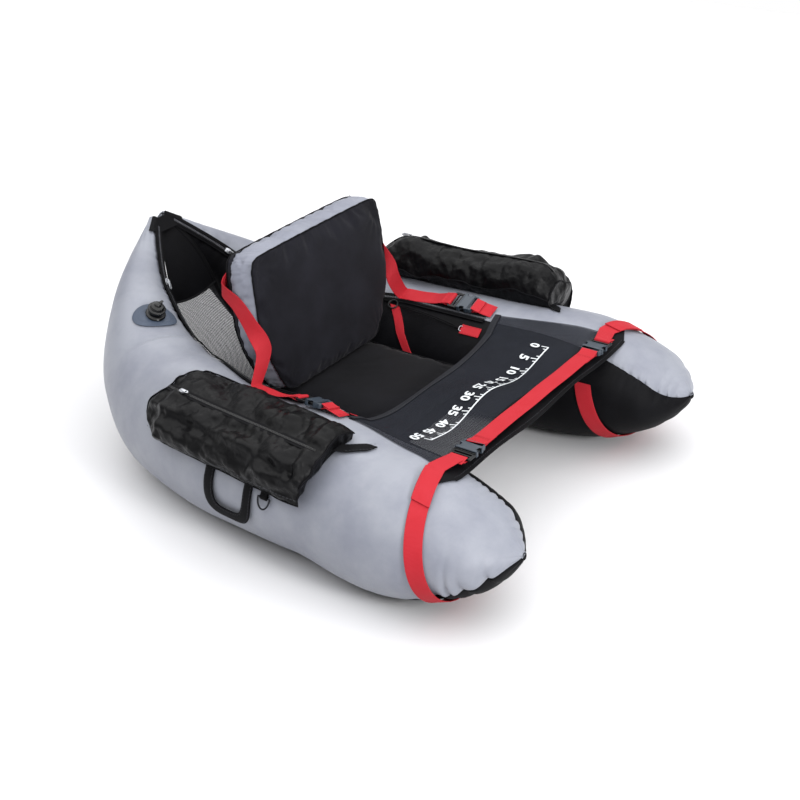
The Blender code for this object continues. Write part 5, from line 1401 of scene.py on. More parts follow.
@dataclass
class Backrest:
    """Folding backrest: foam under a black front panel, a silver border and a black rear strip."""

    lean: float = 7.7
    height: float = 0.325
    width: float = 0.47
    thickness: float = 0.072
    crown: float = 0.016
    rear_crown: float = 0.006
    strip: float = 0.013
    foot_cells: int = 56
    side_cells: int = 50
    depth_cells: int = 9
    piping: float = 0.0017
    outline: tuple = ((0.00, 0.000), (0.33, 0.000), (0.62, 0.006), (0.73, 0.035), (0.80, 0.110),
                      (0.885, 0.240), (0.965, 0.400), (0.995, 0.560), (0.992, 0.760), (0.978, 0.905),
                      (0.940, 0.972), (0.850, 0.996), (0.45, 1.000), (0.00, 1.000))
    corners: tuple = (3, 10)

    def frame(self) -> Matrix:
        """Frame of the backrest: z up its slope, y to the rear, from its fold axis."""
        joint = next(j for j in frame["joints"] if j["name"] == "backrest_fold")
        return Matrix.Translation(joint["pos_m"]) @ Matrix.Rotation(math.radians(-self.lean), 4, "X")

    def sides(self) -> tuple[np.ndarray, ...]:
        """The outline's four sides in its own plane, each from corner to corner."""
        half = np.array(self.outline) * [self.width / 2, self.height]
        run = run_along(half)
        curves = [Curve(run, half[:, axis]) for axis in (0, 1)]
        first, last = (run[k] for k in self.corners)

        def cut(low: float, high: float, steps: int) -> np.ndarray:
            places = spaced(low, high, steps)
            return np.stack([curve.at(places) for curve in curves], axis=1)

        foot = cut(0, first, self.foot_cells // 2)
        head = cut(run[-1], last, self.foot_cells // 2)
        right = cut(first, last, self.side_cells)
        foot = np.concatenate([foot[::-1] * [-1, 1], foot[1:]])
        head = np.concatenate([head[::-1] * [-1, 1], head[1:]])
        return foot, right, head, right * [-1, 1]

    def build(self) -> None:
        """Make the stuffed body, its corded seams and the strip along its rear edge."""
        sides = self.sides()
        ring = ring_of(sides)
        sheet = coons(*[np.column_stack([s[:, 0], 0 * s[:, 0], s[:, 1]]) for s in sides])
        middle = np.array([0, 0, self.height / 2])
        bulge = crowned(sheet, 3.2)
        front, rear = sheet.copy(), sheet.copy()
        front[..., 1] = -(self.crown - 0.004) * bulge + 0.002
        rear[..., 1] = self.thickness + (self.rear_crown - 0.003) * bulge - 0.001
        flat = np.column_stack([ring[:, 0], 0 * ring[:, 0], ring[:, 1]])
        levels = [0.0, *spaced(self.strip * 1.4, self.thickness - self.strip, self.depth_cells - 1),
                  self.thickness - self.strip / 2, self.thickness]
        walls = []
        for depth in levels:
            share = depth / self.thickness
            belly = 1 + 0.010 * math.sin(math.pi * share)
            wall = (flat - middle) * [belly, 1, belly] + middle
            wall[:, 1] = 0.002 + (self.thickness - 0.003) * share
            walls.append(wall)
        walls = np.array(walls)
        cut = len(levels) - 3
        shell = Shell()
        shell.grid(front, 0)
        shell.grid(rear, 0)
        shell.grid(walls[:cut + 1], 1, wrap=True)
        shell.grid(walls[cut:], 0, wrap=True)
        body = shell.build("backrest_pad", [CUSHION_CLOTH, SHADED_BORDER_CLOTH], sharp=180)
        rest = coordinates(body.data)
        front_seam, strip_seam, rear_seam = (nearest(rest, walls[k]) for k in (0, cut, -1))
        inflate(body, 4.0, 0.008, [*front_seam, *rear_seam], 0.05)
        points = coordinates(body.data)
        seams = [points[k] + self.gathers(points[k]) for k in (front_seam, strip_seam, rear_seam)]
        smooth(body)
        points = coordinates(body.data)
        place = self.frame()
        reshape(body.data, moved(place, points + self.gathers(points)))
        place_piece(body, "backrest", "black_nylon", "backrest_front_panel", "backrest_core",
                    "backrest_rear_panel", "backrest_border")
        cords = Shell()
        for seam, radius in zip(seams, (self.piping, 0.0009, self.piping)):
            out = unit((seam - middle) * [1, 0, 1])
            route = moved(place, seam + out * radius * 0.5)
            outs = out @ np.array(place.to_3x3()).T
            cords.sweep(route, outs, round_section(radius, 8), 0, direction(place, 0, 1, 0), closed=True)
        place_piece(cords.build("backrest_piping", [BLACK_WEBBING]), "backrest", "black_nylon")

    def gathers(self, points: np.ndarray) -> np.ndarray:
        """Shift of each point where the cloth is gathered at the corners and along the seams."""
        middle = np.array([0, 0, self.height / 2])
        out = unit((points - middle) * [1, 0, 1])
        shift = np.zeros_like(points)
        share = points[:, 1] / self.thickness
        for side in (-1, 1):
            for x, z, depth in ((0.92, 0.92, 1.0), (0.72, 0.05, 0.6)):
                corner = np.array([side * x * self.width / 2, 0, z * self.height])
                flat = (points - corner) * [1, 0, 1]
                away = np.linalg.norm(flat, axis=1)
                turn = np.arctan2(flat[:, 2], flat[:, 0] * side)
                fold = np.abs(np.sin(turn * 7 + share * 4 + 6 * away)) ** 0.6 - 1
                near = np.exp(-(away / 0.05) ** 2)
                on_front = ramp(points[:, 1], 0.006, -0.002)
                shift[:, 1] -= 0.0035 * depth * fold * near * on_front
                on_wall = ramp(share, 0.02, 0.15) * ramp(share, 1.0, 0.8)
                shift += out * (0.004 * depth * fold * near * on_wall)[:, None]
        x, y, z = points.T
        ruffle = np.sin(x * 190 + 3 * np.sin(z * 40)) * np.sin(z * 170 + x * 60)
        edge = np.exp(-(np.minimum(np.abs(y), np.abs(y - self.thickness)) / 0.008) ** 2)
        return shift + out * (0.0007 * ruffle * edge)[:, None]


# Bags

@dataclass
class SideBag:
    """Zipped side bag on a tube's shoulder: crumpled oxford cloth, piped edges, zip and pull tab."""

    tube: AirTube
    skin: tuple
    folds: tuple
    crumple: float
    last_share: float
    heights: tuple
    first_share: float = 0.335
    floor_angles: tuple = (86, 23)
    lift: float = 0.0012
    rows: int = 62
    columns: int = 30
    levels: int = 6
    zip_share: float = 0.375
    zip_ends: tuple = (0.04, 0.96)
    zip_width: float = 0.018
    zip_calm: float = 0.07
    turn_from: float = 100
    turn_span: float = 80
    girth: float = 0.2
    foot_fade: tuple = (0.004, 0.022)
    crumples: tuple = ((1.0, (17, 10, 19)), (0.42, (40, 24, 44)))
    piping: float = 0.0018
    slider_share: float = 0.16
    slider_lift: float = 0.0035
    slider_size: tuple = (0.014, 0.010, 0.005)

    def spine(self) -> tuple[np.ndarray, np.ndarray]:
        """Start of the bag on the tube's centre line, and the straight way to its end."""
        first, last = (self.tube.centre(np.array(place)) for place in (self.first_share, self.last_share))
        return first, last - first

    def sheets(self, share: np.ndarray, across: np.ndarray) -> tuple[np.ndarray, np.ndarray]:
        """Floor and upper skin at shares of the bag's length and places across it, 0 to 1."""
        tube = self.tube
        share, across = np.broadcast_arrays(share, across)
        low = self.first_share + (self.last_share - self.first_share) * share
        angle = self.floor_angles[0] + (self.floor_angles[1] - self.floor_angles[0]) * across
        floor = tube.point(low, angle, self.lift)
        start, way = self.spine()
        spine = start + way * share[..., None]
        steps = spaced(0, 1, len(self.skin) - 1)
        outward, upward = (Curve(steps, [spot[axis] for spot in self.skin]).at(across) for axis in (0, 1))
        full = Curve(*np.array(self.heights).T).at(share)
        over = spine + np.stack([tube.side.value * outward, 0 * upward, upward], axis=-1)
        return floor, floor + (over - floor) * full[..., None]

    def place(self, share: np.ndarray, across: np.ndarray) -> np.ndarray:
        """Points of the upper skin."""
        return self.sheets(share, across)[1]

    def build(self) -> None:
        """Make the bag, its piping and tab, its zip and the slider."""
        label = self.tube.side.label
        share, across = spaced(0, 1, self.rows)[:, None], spaced(0, 1, self.columns)[None]
        stern = 0.09 * ramp(across, 0.65, 0.1) + 0.10 * ramp(across, 0.75, 1.0)
        drawn = stern * (1 - share) + (1 - 0.05 * ramp(across, 0.5, 1.0)) * share
        floor, over = self.sheets(drawn, across)
        shell = Shell()
        shell.grid(over)
        shell.grid(floor)
        steps = spaced(0, 1, self.levels)[:, None, None]
        for edge in (np.s_[:, 0], np.s_[:, -1], np.s_[0], np.s_[-1]):
            shell.grid(floor[edge][None] + (over[edge] - floor[edge])[None] * steps)
        bag = shell.build(f"{label}_side_bag", [BAG_CLOTH], sharp=180)
        rest = coordinates(bag.data)
        zip_row = self.place(np.array([spaced(0.05, 0.95, 60)]), np.array([[self.zip_share]]))[0]
        edges = np.concatenate([over[0], over[-1], over[:, -1], over[:, 0]])
        foot = nearest(rest, floor.reshape(-1, 3))
        still = {*foot, *nearest(rest, edges), *nearest(rest, zip_row)}
        inflate(bag, 2.2, 0.007, sorted(still), 0.05)
        smooth(bag)
        points = coordinates(bag.data)
        reshape(bag.data, points + self.creased(points))
        place_piece(bag, "hull", "black_nylon", f"{label}_bag")
        self.edges(over)
        self.zip_line()

    def creased(self, points: np.ndarray) -> np.ndarray:
        """Shift of each point by the crumpled cloth's folds; none at the foot."""
        side = self.tube.side.value
        start, way = self.spine()
        length = np.linalg.norm(way)
        ahead = way / length
        along = (points - start) @ ahead
        share = np.clip(along / length, 0, 1)

        def about(spots: np.ndarray) -> np.ndarray:
            return spots - start - along[:, None] * ahead

        def turn_of(spots: np.ndarray) -> np.ndarray:
            return np.degrees(np.arctan2(spots[:, 2], spots[:, 0] * side))

        off = about(points)
        out, up = off[:, 0] * side, off[:, 2]
        across = (self.turn_from - turn_of(off)) / self.turn_span
        floor = np.linalg.norm(about(self.sheets(share, np.clip(across, 0, 1))[0]), axis=1)
        free = ramp(np.hypot(out, up) - floor, *self.foot_fade)
        zip_turn = turn_of(about(self.place(share, np.full(len(points), self.zip_share))))
        beside_zip = (turn_of(off) - zip_turn) / self.turn_span
        free = free * (1 - 0.96 * np.exp(-(beside_zip / self.zip_calm) ** 2))
        spots = np.stack([along, across * self.girth], axis=1)
        total = np.zeros(len(points))
        for first, first_side, last, last_side, width, rise in self.folds:
            a = np.array([first * length, first_side * self.girth])
            b = np.array([last * length, last_side * self.girth])
            t = np.clip(((spots - a) @ (b - a)) / ((b - a) @ (b - a)), 0, 1)
            away = np.linalg.norm(spots - a - t[:, None] * (b - a), axis=1)
            total += rise * np.exp(-(away / width) ** 2)
        for strength, scale in self.crumples:
            total += self.crumple * strength * (0.8 - 1.5 * self.facets(points, scale))
        normal = unit(np.stack([out * side, 0 * out, up], axis=1))
        return normal * (total * free)[:, None]

    def facets(self, points: np.ndarray, scale: tuple) -> np.ndarray:
        """Distance from each point to the nearest of scattered middles: facets that meet in creases."""
        shift = 5 * self.tube.side.value
        spots = [Vector((x * scale[0], y * scale[1] + shift, z * scale[2])) for x, y, z in points]
        return np.array([noise.voronoi(spot)[0][0] for spot in spots])

    def edges(self, over: np.ndarray) -> None:
        """Piping round the skin, a seam line low on the outer side, and the tab on the front end."""
        tube = self.tube
        label = tube.side.label
        shell = Shell()
        loop = np.concatenate([over[:-1, -1], over[-1, ::-1][:-1], over[::-1, 0][:-1], over[0][:-1]])
        loop = loop + self.creased(loop)
        up = tube.outward(loop, 0.5)
        side = unit(np.cross(np.roll(loop, -1, axis=0) - np.roll(loop, 1, axis=0), up))
        shell.sweep(loop + up * 0.0008, side, round_section(self.piping, 8), 0, up, closed=True)
        low = self.place(spaced(0.03, 0.97, 90), np.full(91, 0.90))
        low = low + self.creased(low)
        up = tube.outward(low, 0.5)
        sew(shell, low + up * 0.0025, up, 1, 0.006, 0.0022, 0.001)
        item = shell.build(f"{label}_bag_piping", [BLACK_NYLON, GREY_THREAD])
        place_piece(item, "hull", "black_nylon")
        shell = Shell()
        places, turns = spaced(0.665, 0.712, 12), spaced(70, 90, 12)
        spots, _, normals = tube.lie(places, turns, 0.0035, taut=True)
        spots += normals * (0.010 * ramp(places, 0.68, 0.665))[:, None]
        ahead = np.gradient(spots, axis=0)
        aside = unit(np.cross(normals, ahead))
        pointed = np.stack([ramp(places, 0.7135, 0.7), np.ones(len(places))], axis=1)[:, None]
        shell.sweep(spots, aside, flat_section(0.025, 0.002) * pointed, 0, normals)
        for shift in (-0.009, 0.009):
            sew(shell, spots[3:] + aside[3:] * shift + normals[3:] * 0.0012, normals[3:], 1)
        place_piece(shell.build(f"{label}_bag_tab", [BLACK_WEBBING, GREY_THREAD]), "hull", "black_webbing")

    def zip_line(self) -> None:
        """Zip along the bag and the slider that runs on it."""
        label = self.tube.side.label
        share = spaced(*self.zip_ends, 120)
        line = self.place(share, np.full(121, self.zip_share))
        beside = self.place(share, np.full(121, self.zip_share + 0.05)) + self.creased(line)
        line = line + self.creased(line)
        aside = unit(beside - line)
        ahead = unit(np.gradient(line, axis=0))
        up = unit(np.cross(ahead, aside))
        up = up * np.where(up[:, 2:] < 0, -1, 1)
        shell = Shell()
        shell.sweep(line + up * 0.0006, aside, flat_section(self.zip_width, 0.0014), 0, up)
        coil = line + up * 0.0016
        wave = np.sin(spaced(0, 1, 120) * 2 * np.pi * 74)[:, None]
        for turn in (-1, 1):
            row = coil + aside * turn * (0.0013 + 0.0004 * wave)
            shell.sweep(row, aside, round_section(0.0011, 6), 1, up)
        item = shell.build(f"{label}_bag_zip", [BLACK_WEBBING, BLACK_COIL])
        place_piece(item, "hull", "black_webbing")
        skin = [self.place(np.array(self.slider_share), np.array(v)) for v in (0.25, self.zip_share, 0.5)]
        forward = unit(self.spine()[1])
        normal = unit(np.cross(skin[2] - skin[0], forward))
        normal = normal * (-1 if normal[2] < 0 else 1)
        seat = Matrix(np.stack([forward, np.cross(normal, forward), normal], axis=1).tolist()).to_4x4()
        seat.translation = Vector(skin[1] + normal * (self.slider_lift + self.slider_size[2] / 2))
        slider = ZipSlider(self.slider_size, 0.02, 0.007).build(f"{label}_bag_slider", seat)
        place_piece(slider, f"{label}_bag_slider", "zinc", f"{label}_bag_zip_slider")


# Skin places round each bag as (out, up) from the tube's middle; its folds, from (share, across) to
# (share, across) with a width and a rise; how crumpled it is; where it ends on the tube; and how full it
# is along its length.  The left bag is stuffed and the right one lies slack.
BAGS = {
    Side.RIGHT: (((0.004, 0.158), (0.040, 0.171), (0.085, 0.168), (0.130, 0.155), (0.168, 0.136),
                  (0.186, 0.114), (0.184, 0.087), (0.168, 0.060)),
                 ((0.03, 0.72, 0.95, 0.72, 0.007, 0.006), (0.03, 0.79, 0.95, 0.79, 0.008, -0.006),
                  (0.02, 0.1, 0.42, 0.45, 0.018, -0.012), (0.40, 0.35, 0.95, 0.30, 0.030, 0.008),
                  (0.62, 0.6, 0.98, 0.95, 0.014, -0.009), (0.80, 0.2, 0.99, 0.9, 0.010, -0.007),
                  (0.25, 0.8, 0.60, 0.62, 0.016, -0.008), (0.06, 0.6, 0.3, 0.9, 0.02, 0.006),
                  (0.90, 0.05, 0.97, 0.75, 0.008, 0.005)), 0.0120, 0.668,
                 ((0, 0.3), (0.06, 0.6), (0.13, 0.95), (0.4, 0.9), (0.7, 0.95), (0.92, 0.98), (1, 0.72))),
    Side.LEFT: (((-0.002, 0.170), (0.012, 0.212), (0.055, 0.234), (0.105, 0.215), (0.155, 0.165),
                 (0.178, 0.108), (0.166, 0.064)),
                ((0.28, 0.0, 0.40, 0.6, 0.03, -0.012), (0.60, 0.0, 0.62, 0.8, 0.02, -0.006),
                 (0.80, 0.0, 0.82, 0.7, 0.03, 0.006), (0.12, 0.0, 0.2, 0.6, 0.02, -0.008)), 0.0110, 0.69,
                ((0, 0.3), (0.05, 0.5), (0.1, 0.75), (0.16, 0.95), (0.22, 1.0), (0.5, 0.93), (0.8, 0.955),
                 (0.9, 0.94), (1, 0.6))),
}


# Webbing and buckles

@dataclass
class BuckleSizes:
    """Sizes shared by sockets, plugs and the webbing in them."""

    web_width: float = 0.038
    web_thickness: float = 0.0016
    length: float = 0.038
    width: float = 0.050
    height: float = 0.013
    wall: float = 0.0022
    depth: float = 0.026
    slot: float = 0.006
    bar: float = 0.003
    window_start: float = 0.007
    window_length: float = 0.013
    window_depth: float = 0.0065
    plug_base: float = 0.026
    plug_thickness: float = 0.005
    plug_slot: float = 0.006
    plug_bar: float = 0.0035
    plug_reach: float = 0.024
    prong_width: float = 0.0055
    prong_waist: float = 0.003
    barb: float = 0.010
    tongue: float = 0.006
    clearance: float = 0.0006

    def section(self) -> np.ndarray:
        """Outline of the webbing's section."""
        return flat_section(self.web_width, self.web_thickness)


@dataclass
class Buckle:
    """Side-release buckle, built about its mouth with the plug's side on +X."""

    name: str
    seat: Matrix
    plug_body: str
    sizes: BuckleSizes = field(default_factory=BuckleSizes)

    def socket(self) -> None:
        """Sleeve with side windows, raised rim, back block and webbing bar."""
        s = self.sizes
        half = s.width / 2
        near, far = -s.window_start, -s.window_start - s.window_length
        inner = half - s.window_depth
        face = mirrored([(0, half - 0.002), (-0.002, half), (near, half), (near - 0.001, inner + 0.001),
                         (near - 0.003, inner), (far + 0.003, inner), (far + 0.001, inner + 0.001),
                         (far, half), (-s.depth - 0.001, half - 0.001)])
        ridge = mirrored([(-0.0035, half - 0.003), (-0.001, half - 0.003)])
        shell = Shell()
        for turn in (-1, 1):
            level = Matrix.Translation((0, 0, turn * (s.height - s.wall) / 2))
            shell.part(*plate(face, [], s.wall, 0.0007), place=level)
            level = Matrix.Translation((0, 0, turn * s.height / 2))
            shell.part(*plate(ridge, [], 0.0012, 0.0005), place=level)
        for side in (-1, 1):
            for first, last in ((0.0, near), (far, -s.depth)):
                wall = mirrored([(first, -s.height / 2), (last, -s.height / 2)])
                shell.part(*plate(wall, [], s.wall, 0.0007),
                           place=(Matrix.Translation((0, side * (half - s.wall / 2), 0))
                                  @ Matrix.Rotation(math.pi / 2, 4, "X")))
        back = mirrored([(-s.depth + 0.0002, half - 0.0012), (-s.length + 0.003, half - 0.0012),
                         (-s.length, half - 0.004)])
        start = -s.length + s.bar
        reach = s.web_width / 2 + s.clearance
        slot = mirrored([(start, reach), (start + s.slot, reach)])
        shell.part(*plate(back, [slot], s.height - 0.0012, 0.0016))
        shell.points = [moved(self.seat, points) for points in shell.points]
        item = shell.build(f"{self.name}_socket_body", [ACETAL_GREY], sharp=35)
        place_piece(item, "hull", "buckle_plastic", f"{self.name}_socket")

    def plug(self) -> None:
        """Plug with two barbed prongs, a tongue and two webbing slots."""
        s = self.sizes
        half = s.width / 2
        outer = half - s.wall - s.clearance
        arm = outer - (s.prong_width - s.prong_waist)
        barb = -s.plug_reach + s.barb
        outline = mirrored([
            (s.plug_base, half - 0.003), (s.plug_base - 0.003, half), (s.clearance + 0.002, half),
            (s.clearance, half - 0.002), (s.clearance, arm), (barb, arm), (barb, outer),
            (-s.plug_reach + s.prong_waist, outer), (-s.plug_reach, arm),
            (-s.plug_reach, outer - s.prong_width), (barb, arm - s.prong_waist),
            (s.clearance, arm - s.prong_waist), (s.clearance, s.tongue / 2), (-s.plug_reach, s.tongue / 2)])
        reach = s.web_width / 2 + s.clearance
        slots = []
        for k in range(2):
            end = s.plug_base - s.plug_bar - k * (s.plug_slot + s.plug_bar)
            slots.append([(end, reach), (end, -reach),
                          (end - s.plug_slot, -reach), (end - s.plug_slot, reach)])
        shell = Shell()
        shell.part(*plate(outline, slots, s.plug_thickness, 0.0009), place=self.seat)
        rim = mirrored([(s.clearance + 0.0004, half - 0.002), (s.clearance + 0.003, half - 0.001)])
        shell.part(*plate(rim, [], s.plug_thickness + 0.003, 0.0008), place=self.seat)
        item = shell.build(f"{self.name}_plug_body", [ACETAL_BLACK], sharp=35)
        place_piece(item, self.plug_body, "black_plastic", f"{self.name}_plug")

    def loop(self, shell: Shell, at_plug: bool, tail: float) -> None:
        """Webbing sewn round a bar, folded back on itself.

        Args:
            shell: where the webbing goes.
            at_plug: whether it holds the plug's end bar instead of the socket's.
            tail: length of the fold-back.
        """
        s = self.sizes
        way = 1 if at_plug else -1
        rim = s.plug_base if at_plug else s.length
        bar = rim - (s.plug_bar if at_plug else s.bar) / 2
        turn = spaced(-math.pi / 2, math.pi / 2, 14)
        rise = 0.0042 if at_plug else 0.0050
        arc = [(bar - 0.0026 * math.cos(a), rise * math.sin(a)) for a in turn]
        under = [(rim + tail, -0.0016), (rim + tail * 0.5, -0.0018), (rim + 0.008, -0.0026)]
        over = [(rim + 0.007, 0.0026), (rim + 0.013, 0.0008), (rim + 0.020, 0.0)]
        route = resampled([(way * x, 0.0, z) for x, z in (*under, *arc, *over)], 60)
        shell.sweep(moved(self.seat, route), direction(self.seat, 0, 1, 0), s.section())


@dataclass
class Apron:
    """Mesh apron between the tubes: net, hem tape, front binding and printed ruler."""

    first_share: float = 0.612
    last_share: float = 0.825
    edge_angles: tuple = (111, 100)
    leave_angles: tuple = (132, 108)
    lift: float = 0.0012
    sag: float = 0.003
    hem_sag: float = 0.022
    wave: float = 0.0135
    waves: int = 2
    crest_share: float = 0.15
    thickness: float = 0.001
    hem: float = 0.012
    binding: float = 0.062
    corner_angle: float = 84
    rows: int = 70
    span: int = 110
    tube_cells: int = 8
    ruler_row: float = -0.331
    ruler_ends: tuple = (0.221, -0.264)
    marks: int = 50
    ticks: tuple = (0.017, 0.008, 0.0, 0.0, 0.008)
    ink: float = 0.0003
    digit_height: float = 0.0225
    digit_weight: float = 0.0011

    def row(self, share: np.ndarray, lift: float) -> np.ndarray:
        """Rows of points across the apron at shares from its hem to its front."""
        tube = TUBES[Side.LEFT]
        share = np.atleast_1d(share)[:, None]
        place = self.first_share + (self.last_share - self.first_share) * share
        edge, leave = (first + (last - first) * share
                       for first, last in (self.edge_angles, self.leave_angles))
        steps = spaced(0, 1, self.tube_cells)[None, :-1]
        on_tube = tube.point(place, edge + (leave - edge) * steps, self.lift + lift)
        end = tube.point(place[:, 0], leave[:, 0], self.lift + lift)
        across = spaced(1, -1, self.span)[None]
        crest = np.cos(self.waves * np.pi * (across + self.crest_share))
        hang = self.sag + self.hem_sag * (1 - share) ** 2
        drop = (hang - self.wave * np.sin(np.pi * share) * crest) * (1 - across ** 4)
        ripple = (0.0016 * np.sin(9 * across + 5 * share) * np.sin(np.pi * np.clip(share, 0, 1))
                  * (1 - across ** 2))
        span = np.stack([end[:, None, 0] * across, end[:, None, 1] + 0 * across,
                         end[:, None, 2] - drop + ripple], axis=-1)
        return np.concatenate([on_tube, span, on_tube[:, ::-1] * [-1, 1, 1]], axis=1)

    def spot(self, x: np.ndarray, y: np.ndarray, lift: float) -> np.ndarray:
        """Points on the net's span over places in plan."""
        shares = spaced(0, 1, 60)
        span = np.s_[:, self.tube_cells:-self.tube_cells]
        rows = self.row(shares, 0.0)[span]
        share = np.interp(-np.asarray(y), -rows[:, 0, 1], shares)
        x, share = np.broadcast_arrays(np.asarray(x, float), share)
        found = self.row(share.ravel(), 0.0)[span]
        z = [np.interp(-u, -row[:, 0], row[:, 2]) for u, row in zip(x.ravel(), found)]
        return np.stack([x.ravel(), found[:, 0, 1], np.array(z) + lift], axis=1)

    def build(self) -> None:
        """Make net, hem, binding and ruler."""
        tube = TUBES[Side.LEFT]
        shell = Shell()
        share = spaced(0, 1, self.rows)
        shell.grid(self.row(share, self.thickness / 2))
        net = shell.build("apron_net", [APRON_NET])
        place_piece(net, "hull", "black_net", "apron_mesh")
        width = 2 * self.row(0.5, 0.0)[0, 0, 0]
        reach = (self.last_share - self.first_share) * tube.speed(self.first_share)

        shell = Shell()
        turn = self.hem / reach
        share = spaced(0, turn, 3)
        stack = self.thickness + 2 * GAP
        shell.slab(self.row(share, stack), self.row(share, stack + 0.0016))
        shell.slab(self.row(share, -0.0016), self.row(share, -0.0002))
        middle = self.row(turn * 0.8, stack + 0.002)[0]
        sew(shell, middle, UPWARD, 1)
        place_piece(shell.build("apron_hem", [GREY_TAPE, GREY_THREAD]), "hull", "grey_hem", "apron_rear_hem")

        shell = Shell()
        step = self.binding / 2 / tube.speed(self.last_share) / (self.last_share - self.first_share)
        share = spaced(1 - step, 1 + step, 8)
        stack = self.thickness + GAP
        over = self.row(share, stack + 0.0014)
        shell.slab(self.row(share, stack), over)
        for near in (1, -2):
            sew(shell, over[near] + [0, 0, 0.0004], UPWARD, 1)
        for side in Side:
            self.corner(shell, TUBES[side], stack)
        item = shell.build("apron_binding", [BLACK_NYLON, GREY_THREAD])
        place_piece(item, "hull", "black_webbing", "apron_front_binding")
        self.ruler()

    def corner(self, shell: Shell, tube: AirTube, stack: float) -> None:
        """Pointed patch that ties the binding to a tube."""
        share = spaced(0, 1, 10)[:, None]
        angle = self.corner_angle + (self.edge_angles[1] + 1 - self.corner_angle) * share
        half = self.binding / 2 / tube.speed(self.last_share) * (0.35 + 0.65 * share)
        place = self.last_share + half * spaced(-1, 1, 8)[None]
        shell.slab(*(tube.point(place, angle, self.lift + stack + lift) for lift in (0, 0.0014)))

    def ruler(self) -> None:
        """Printed rule: a line, ticks, a longer one at each five, and plain numbers."""
        shell = Shell()
        first, last = self.ruler_ends
        high = self.thickness / 2 + 0.0016

        def strip(x: np.ndarray, y: np.ndarray, width_x: float, width_y: float) -> None:
            film = np.stack([self.spot(x + width_x * way / 2, y + width_y * way / 2, high)
                             for way in (-1, 1)])
            shell.slab(film - [0, 0, self.ink], film + [0, 0, self.ink])

        xs = spaced(first, last, 120)
        strip(xs, np.full(121, self.ruler_row), 0.0, 0.0032)
        for mark in range(self.marks + 1):
            reach = self.ticks[mark % 5]
            if reach:
                x = first + (last - first) * mark / self.marks
                strip(np.full(5, x), self.ruler_row + np.linspace(0.0, reach, 5), 0.0024, 0.0)
        item = shell.build("ruler_print", [WHITE_INK])
        place_piece(item, "hull", "black_net")
        for number in range(0, self.marks + 1, 5):
            self.digits(number, first + (last - first) * number / self.marks)

    def digits(self, number: int, x: float) -> None:
        """One printed number, laid over the net behind its tick."""
        data = bpy.data.curves.new("digits", "FONT")
        data.body = str(number)
        data.size = self.digit_height / 0.7
        data.shear = 0.2
        data.offset = self.digit_weight
        data.align_x = "CENTER"
        data.resolution_u = 3
        flat, faces = filled(data)
        spots = self.spot(x - flat[:, 0], self.ruler_row + 0.021 + self.digit_height - flat[:, 1],
                          self.thickness / 2 + 0.0032)
        shell = Shell()
        shell.part(spots, faces)
        place_piece(shell.build(f"ruler_number_{number}", [WHITE_INK]), "hull", "black_net")


